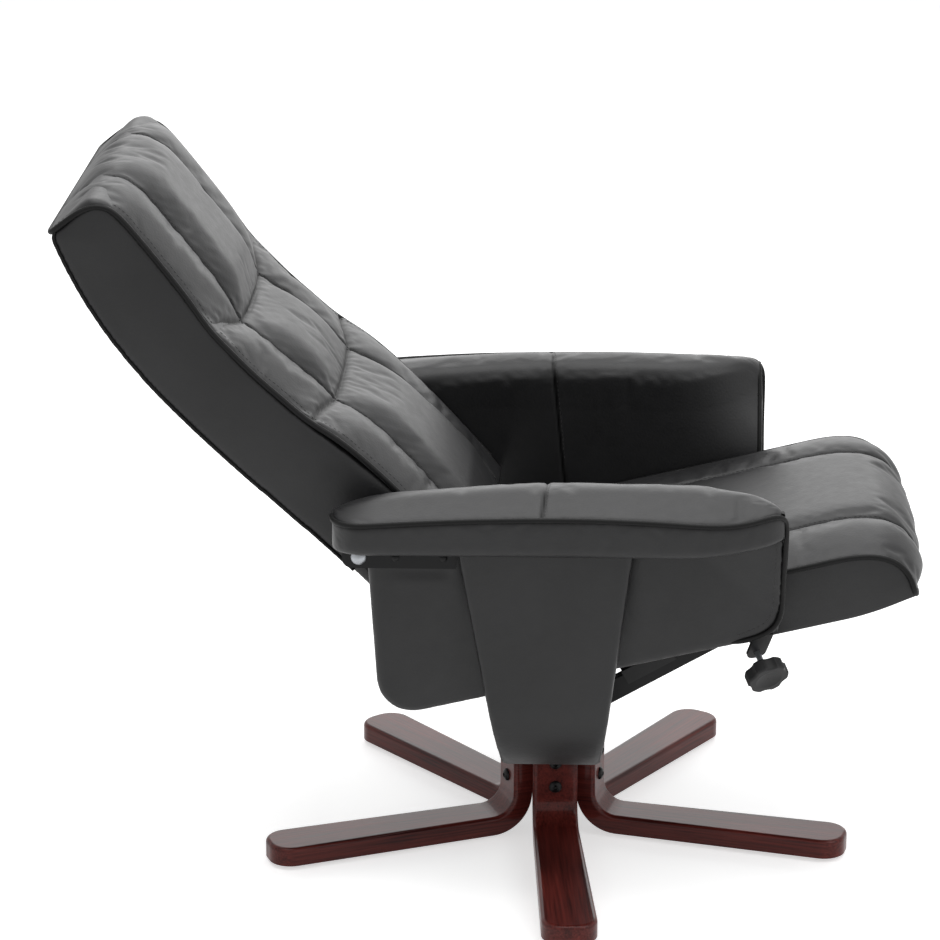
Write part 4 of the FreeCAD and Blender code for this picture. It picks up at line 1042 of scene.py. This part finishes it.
def arm_lines(count):
    """Lines of an arm pad at stations along it: outer edge, inner edge, underside, rim, crest, hem."""
    plan = []
    for turn in np.linspace(0, math.pi / 2, 10):
        plan.append((ARM_REAR + 0.045 * (1 - math.cos(turn)), ARM_OUTER - 0.045 * (1 - math.sin(turn))))
    for turn in np.linspace(math.pi / 2, 0.06, 16):
        plan.append((ARM_TIP - 0.143 * (1 - math.cos(turn)), ARM_OUTER - 0.036 * (1 - math.sin(turn))))
    plan = even_line(np.array(plan), count)
    place = plan[:, 0]
    rim = drawn([
        (-0.275, 0.5445), (-0.20, 0.5505), (-0.10, 0.556), (0.02, 0.5585), (0.12, 0.556), (0.19, 0.5515),
        (0.225, 0.5515), (0.250, 0.5550), (0.268, 0.5590), (0.280, 0.5585), (0.290, 0.5500),
    ])
    crest = drawn([
        (-0.275, 0.5490), (-0.245, 0.5560), (-0.20, 0.563), (-0.155, 0.5685), (-0.065, 0.5757), (0.0, 0.578),
        (0.10, 0.5787), (0.175, 0.5775), (0.225, 0.5750), (0.255, 0.5715), (0.272, 0.5665), (0.282, 0.5605),
        (0.290, 0.5510),
    ])
    hem = 0.270 + (place + 0.217) * 0.238
    hem += 0.045 * (arc_drop(ramp(place, 0.242, 0.046)) + arc_drop(ramp(place, -0.172, -0.045)))
    hem = np.where(place < -0.214, ARM_UNDER - 0.002, hem)
    rounding = 0.052 * arc_drop(ramp(place, -0.205, -0.068))
    return {
        "place": place,
        "outer": plan[:, 1],
        "inner": ARM_INNER + ARM_CURL * arm_flare(place) + rounding,
        "under": ARM_UNDER + ARM_LIFT * arm_flare(place),
        "rim": rim(place),
        "crest": crest(place),
        "hem": hem,
    }


def arm_seam(across, level):
    """Where along an arm the seam lies that crosses its top and runs down its inner face."""
    on_top = -0.075 * (across - ARM_SHOULDER)
    return -0.006 + np.where(across > ARM_SHOULDER, on_top, 0.1 * np.maximum(ARM_TOP - level, 0))


def off_line(points, line):
    """Distance of each point from the nearest point of a line."""
    return np.min(np.linalg.norm(points[:, None, :] - line[None, :, :], axis=2), axis=1)


class RECLINER_OT_arm_pads(bpy.types.Operator):
    """Rolled arm pads whose leather runs on down the inner face, with piping and a cross seam"""

    bl_idname = "recliner.arm_pads"
    bl_label = "Arm pads"

    def execute(self, context):
        padding = context.scene.recliner_padding
        sewing = context.scene.recliner_sewing
        lines = arm_lines(100)
        skin = 8 * MM
        parts = (26, 78, 24)
        around = sum(parts)
        loops = []
        for place, outer, inner, under, rim, crest, hem in zip(*lines.values()):
            slim = min(1.0, (outer - inner) / 0.105)
            dense = rounded_loop(
                [
                    (inner, hem, 0.0),
                    (inner + skin, hem, 0.0),
                    (inner + skin, under, 0.0),
                    (outer, under, 0.013 * slim),
                    (outer + 0.001, rim, 0.005 * slim),
                    (inner + 0.047 * slim, crest + 0.002, 0.060 * slim),
                    (inner, crest - 0.004, 0.020 * slim),
                ],
                1200,
            )
            dense = np.vstack([dense, dense[:1]])
            # The flap's outside, the pad and the flap's inside each keep their own number of points
            corner = int(np.argmin(np.hypot(dense[:, 0] - inner - skin, dense[:, 1] - under)))
            turn = len(dense) - 1 - int(np.argmax(dense[::-1, 1] > ARM_UNDER - 0.001))
            cuts = (dense[: corner + 1], dense[corner : turn + 1], dense[turn:])
            loop = np.vstack([even_line(cut, part + 1)[:-1] for cut, part in zip(cuts, parts)])
            beside_panel = loop[:, 0] < inner + skin + 0.002
            curl = ARM_CURL * arm_flare(place) * (1 - arm_fade(loop[:, 1]))
            loop[:, 0] -= np.where(beside_panel, curl, 0)
            loops.append(np.column_stack([np.full(around, place), loop]))
        rows = len(loops)
        flat = np.array(loops).reshape(-1, 3)
        pad = new_piece("arm_pad_cover_left", flat, tube_faces(rows, around))
        rim = np.column_stack([lines["place"], lines["outer"], lines["rim"]])
        station, under, outer = (
            np.repeat(line, around) for line in (np.arange(rows), lines["under"], lines["outer"])
        )
        place, across, level = flat.T
        pinned = (off_line(flat, rim) < 4.5 * MM) | (level < under + 0.004)
        pinned |= (station < 2) | (station > rows - 4)
        pinned |= (np.abs(place - arm_seam(across, level)) < 4 * MM) & (across < outer - 0.004)
        swell(pad, pinned, padding.arm_swell * ramp(level, under, 0.04))
        subdivided(pad)
        mesh = pad.data
        points = coordinates(mesh)
        place, across, level = points.T
        shown = across < np.interp(place, lines["place"], lines["outer"]) - 0.004
        above = level > np.interp(place, lines["place"], lines["rim"]) - 0.012
        shown &= above | (across < ARM_INNER + 0.004)
        gap = np.where(shown, np.abs(place - arm_seam(across, level)), 1.0)
        crease = fade(gap, 0.5 * sewing.groove_width)
        move_points(mesh, points - normals(mesh) * (0.6 * sewing.groove_depth * crease)[:, None])
        # Painted shade mask: the cross seam's groove and a strip along the rim beside the piping are darkened and
        # dulled by the leather
        attribute(mesh, "seam", np.maximum(crease, fade(off_line(points, even_line(rim, 150)), 4.5 * MM)))
        covers = {"left": pad, "right": mirrored_piece("arm_pad_cover_right", pad)}
        surface = surface_of(pad)
        beyond = 0.7 * sewing.stitch_setback
        down = [(arm_seam(0.0, level) + beyond, 0.2, level) for level in np.arange(0.44, 0.562, 2 * MM)]
        top = np.arange(ARM_INNER + 0.007, 0.366, 2 * MM)
        over = [(arm_seam(across, ARM_TOP) + beyond, across, 0.7) for across in top]
        row = met(surface, down, (0, 1, 0), 0.2) + met(surface, over, (0, 0, -1), 0.3)
        front = [
            (0.2885, 0.3345, 0.5480), (0.2890, 0.3325, 0.530), (0.2885, 0.3265, 0.500),
            (0.2880, 0.3150, 0.465), (0.2880, 0.3040, 0.435), (0.2870, 0.3000, 0.415),
            (0.2810, 0.2995, 0.3985), (0.2660, 0.2995, 0.3870), (0.2400, 0.2990, 0.3775),
            (0.2150, 0.2900, 0.3740), (0.1950, 0.2780, 0.3720),
        ]
        heel = [(ARM_REAR - 0.001, ARM_INNER + 0.06, rim[0, 2])]
        edge = eased(np.vstack([heel, rim[:-1] + np.array((0, 0.001, 0)), smooth_line(front, 90)]), 4 * MM)
        near_tip = ARM_TIP - 5 * MM
        levels = np.linspace(0.551, 0.415, 40)
        curled = ARM_INNER + 0.001 + ARM_CURL * arm_flare(near_tip) * arm_fade(levels)
        over = [(near_tip, 0.3400, 0.5570), (near_tip, 0.3300, 0.5590), (near_tip, 0.3235, 0.5572)]
        turn = [(0.2800, 0.2625, 0.3985), (0.2660, 0.2625, 0.3870), (0.2400, 0.2640, 0.3790)]
        face = np.column_stack([np.full(len(levels), near_tip), curled, levels])
        lip = eased(np.vstack([over, face, turn]), 4 * MM)
        for side, sign in SIDES.items():
            flip = np.array((1, sign, 1))
            upholster(covers[side], "swivel", 0.8, f"arm_pad_{side}")
            stitch(f"arm_stitches_{side}", [np.array(row) * flip], "swivel", 31)
            pipe(f"arm_piping_{side}", [edge * flip, lip * flip], "swivel", share=0.9)
        return {"FINISHED"}


class RECLINER_OT_arm_panels(bpy.types.Operator):
    """Upholstered side panels of the arms, curled outwards at their front edges"""

    bl_idname = "recliner.arm_panels"
    bl_label = "Arm panels"

    def execute(self, context):
        outline = [(-0.233, 0.52), (-0.217, 0.264), (0.287, 0.384), (0.287, 0.52)]
        for side, sign in SIDES.items():
            panel = soft_copy(f"arm_panel_cover_{side}", f"arm_panel_{side}", 5 * MM, 5)
            points = coordinates(panel.data)
            gap = gap_to(points[:, [0, 2]], [outline])
            facing = normals(panel.data)[:, 1] * sign
            behind = ramp(points[:, 0], -0.125, -0.01) * ramp(points[:, 2], 0.455, 0.01)
            under_support = ramp(np.abs(points[:, 0] + 0.008), 0.12, -0.02)
            pillow = 3.0 * MM * (1 - fade(gap, 0.035)) * np.clip(facing * 3 - 1, 0, 1)
            points[:, 1] += sign * pillow * (1 - behind) * (1 - under_support)
            points[:, 2] += ARM_LIFT * arm_flare(points[:, 0]) * ramp(points[:, 2], 0.470, 0.036)
            inside = ramp(np.abs(points[:, 1]), 0.298, -0.034)
            curl = ARM_CURL * arm_flare(points[:, 0]) * arm_fade(points[:, 2])
            points[:, 1] += sign * inside * (0.003 + curl)
            points[:, 0] -= 0.004 * ramp(points[:, 0], 0.270, 0.017) * inside
            move_points(panel.data, points)
            upholster(panel, "swivel", 0.5, f"arm_panel_{side}")
            hem = smooth_line(
                [
                    (0.2775, 0.3290, 0.520), (0.2770, 0.3180, 0.480), (0.2765, 0.3050, 0.445),
                    (0.2755, 0.3015, 0.420), (0.2690, 0.3012, 0.4055), (0.2560, 0.3012, 0.3960),
                    (0.2350, 0.3012, 0.3870),
                ],
                90,
            )
            surface = surface_of(panel)
            row = met(surface, [(x, sign * 0.42, z) for x, _, z in hem], (0, -sign, 0), 0.3)
            stitch(f"arm_hem_stitches_{side}", [row], "swivel", 37)
        return {"FINISHED"}


class RECLINER_OT_arm_support(bpy.types.Operator):
    """Leather-covered U-shaped support of the arms"""

    bl_idname = "recliner.arm_support"
    bl_label = "Arm support"

    def execute(self, context):
        cover = soft_copy("support_cover", "arm_support", 4.5 * MM, 4)
        upholster(cover, "swivel", 0.3, "arm_support")
        return {"FINISHED"}


class RECLINER_OT_star_base(bpy.types.Operator):
    """Lacquer on the legs, and socket bolts with domed heads"""

    bl_idname = "recliner.star_base"
    bl_label = "Star base"

    def execute(self, context):
        look = context.scene.recliner_base
        places, ways = [], []
        for i in range(look.leg_count):
            angle = look.leg_angle + 2 * math.pi * i / look.leg_count
            name = f"lacquered_mahogany_{i + 1}"
            paint(lacquered_mahogany(name, angle), f"base_leg_{i + 1}")
            way = Vector((math.cos(angle), math.sin(angle), 0))
            for height in (look.bolt_low, look.bolt_high):
                places.append(way * look.bolt_face + Vector((0, 0, height)))
                ways.append(way)
        radius, dome = look.bolt_radius, look.bolt_dome
        socket, recess, sides = radius * 0.42, dome * 0.55, 24
        shoulder, last = 0.6 * MM, 1.25
        rings = [(radius, -2 * MM), (radius, shoulder)]
        for turn in np.linspace(0.25, last, 5):
            rise = math.sin(turn) / math.sin(last)
            rings.append((radius * math.cos(turn), shoulder + (dome - shoulder) * rise))
        turns = 2 * math.pi * np.arange(sides) / sides
        hexagon = socket * math.cos(math.pi / 6) / np.cos(turns % (math.pi / 3) - math.pi / 6)
        rings += [(hexagon, dome), (hexagon, dome - recess)]
        points = [
            np.column_stack([reach * np.cos(turns), reach * np.sin(turns), np.full(sides, level)])
            for reach, level in rings
        ]
        head = new_piece("bolt_head", np.vstack(points), tube_faces(len(rings), sides))
        bolts = new_piece("leg_bolt_heads", places, [])
        way_kept = bolts.data.attributes.new("way", "FLOAT_VECTOR", "POINT")
        way_kept.data.foreach_set("vector", [c for way in ways for c in way])
        steel = cached(powder_coated_steel)
        run_tree(bolts, "bolt_heads", bolt_tree, {"Head": head, "Material": steel})
        bpy.data.objects.remove(head)
        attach(bolts, "base")
        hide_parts("leg_bolts")
        return {"FINISHED"}


class RECLINER_OT_hardware(bpy.types.Operator):
    """Finishes of the steel and plastic pieces"""

    bl_idname = "recliner.hardware"
    bl_label = "Steel and plastic"

    def execute(self, context):
        makers = {
            "black_steel": powder_coated_steel,
            "zinc_steel": zinc_plated_steel,
            "black_plastic": moulded_abs,
            "covered_ply": pu_leather,
            "leatherette": pu_leather,
        }
        for entry in frame["record"]["subparts"]:
            if entry["material_slot"] in makers:
                paint(cached(makers[entry["material_slot"]]), entry["node"])
        paint(cached(zinc_plated_steel), "pivot_bolt_right", "pivot_bolt_left")
        return {"FINISHED"}


def ray_kinds(tree, first, *others):
    """1 for a ray of one of these kinds, otherwise 0."""
    path = add_node(tree, "ShaderNodeLightPath").outputs
    found = path[first]
    for kind in others:
        either = {0: found, 1: path[kind]}
        found = add_node(tree, "ShaderNodeMath", links=either, operation="MAXIMUM").outputs[0]
    return found


class RECLINER_OT_stage(bpy.types.Operator):
    """White floor, soft studio light and the camera"""

    bl_idname = "recliner.stage"
    bl_label = "Stage"

    def execute(self, context):
        scene = context.scene
        scene.view_settings.view_transform = "Standard"
        floor = new_piece(
            "floor", [(-30, -30, 0), (30, -30, 0), (30, 30, 0), (-30, 30, 0)], [(0, 1, 2, 3)]
        )
        material = bpy.data.materials.new("white_paper")
        material.use_nodes = True
        tree = material.node_tree
        tree.nodes.clear()
        paper = add_node(tree, "ShaderNodeBsdfDiffuse", {"Color": (0.86, 0.86, 0.86, 1)})
        seen = ray_kinds(tree, "Is Camera Ray", "Is Glossy Ray")
        share = add_node(tree, "ShaderNodeMath", {1: 0.58}, {0: seen}, operation="MULTIPLY")
        lift = add_node(tree, "ShaderNodeEmission", links={"Strength": share})
        both = add_node(tree, "ShaderNodeAddShader", links={0: paper, 1: lift})
        add_node(tree, "ShaderNodeOutputMaterial", links={"Surface": both})
        floor.data.materials.append(material)

        world = bpy.data.worlds.new("studio")
        scene.world = world
        world.use_nodes = True
        tree = world.node_tree
        tree.nodes.clear()
        seen = ray_kinds(tree, "Is Camera Ray", "Is Glossy Ray", "Is Transmission Ray")
        level = add_node(tree, "ShaderNodeMapRange", {"To Min": 0.45, "To Max": 1.0}, {"Value": seen})
        light = add_node(tree, "ShaderNodeBackground", {"Color": (1, 1, 1, 1)}, {"Strength": level})
        add_node(tree, "ShaderNodeOutputWorld", links={"Surface": light})

        for name, place, size, power in (
            ("overhead", (0.0, 0.0, 3.4), 3.2, 90.0),
            ("behind", (0.2, 4.2, 2.3), 3.6, 62.0),
            ("front", (2.6, -1.4, 2.6), 2.0, 26.0),
        ):
            lamp = bpy.data.lights.new(name, "AREA")
            lamp.size = size
            lamp.energy = power
            holder = linked(name, lamp)
            holder.location = place
            holder.visible_camera = False
            holder.rotation_euler = (Vector((0, 0, 0.5)) - Vector(place)).to_track_quat("-Z", "Y").to_euler()

        azimuth, elevation, distance = math.radians(1.991), math.radians(17.723), 4.7056
        target = Vector((-0.112463, 0, 0.50333))
        right = Vector((math.cos(azimuth), math.sin(azimuth), 0))
        level = Vector((math.sin(azimuth), -math.cos(azimuth), 0))
        back = level * math.cos(elevation) + Vector((0, 0, math.sin(elevation)))
        turned = Matrix((right, back.cross(right), back)).transposed()
        camera = bpy.data.cameras.new("camera")
        camera.sensor_width = 36
        camera.lens = 135.94
        scene.camera = linked("camera", camera)
        scene.camera.matrix_world = Matrix.Translation(target + back * distance) @ turned.to_4x4()
        return {"FINISHED"}


class RECLINER_PT_pieces(bpy.types.Panel):
    """The recliner's pieces, and the sizes and colours they are made from"""

    bl_idname = "RECLINER_PT_pieces"
    bl_label = "Recliner"
    bl_space_type = "VIEW_3D"
    bl_region_type = "UI"
    bl_category = "Recliner"

    def draw(self, context):
        for name in SETTINGS:
            box = self.layout.box()
            group = getattr(context.scene, name)
            for prop in group.bl_rna.properties:
                if prop.identifier not in ("rna_type", "name"):
                    box.prop(group, prop.identifier)
        for operator in OPERATORS:
            self.layout.operator(operator.bl_idname)


SETTINGS = {
    "recliner_leather": RECLINER_PG_leather,
    "recliner_sewing": RECLINER_PG_sewing,
    "recliner_padding": RECLINER_PG_padding,
    "recliner_base": RECLINER_PG_base,
}
OPERATORS = (
    RECLINER_OT_stage,
    RECLINER_OT_hardware,
    RECLINER_OT_star_base,
    RECLINER_OT_arm_support,
    RECLINER_OT_arm_panels,
    RECLINER_OT_arm_pads,
    RECLINER_OT_seat,
    RECLINER_OT_back_body,
    RECLINER_OT_back_front,
)
CLASSES = (*SETTINGS.values(), *OPERATORS, RECLINER_PT_pieces)


def register():
    for cls in CLASSES:
        bpy.utils.register_class(cls)
    for name, group in SETTINGS.items():
        setattr(bpy.types.Scene, name, PointerProperty(type=group))


def unregister():
    for name in SETTINGS:
        delattr(bpy.types.Scene, name)
    for cls in reversed(CLASSES):
        bpy.utils.unregister_class(cls)


def main():
    register()
    bpy.ops.recliner.stage()
    bpy.ops.recliner.hardware()
    bpy.ops.recliner.star_base()
    bpy.ops.recliner.arm_support()
    bpy.ops.recliner.arm_panels()
    bpy.ops.recliner.arm_pads()
    bpy.ops.recliner.seat()
    bpy.ops.recliner.back_body()
    bpy.ops.recliner.back_front()


if __name__ == "__main__":
    main()
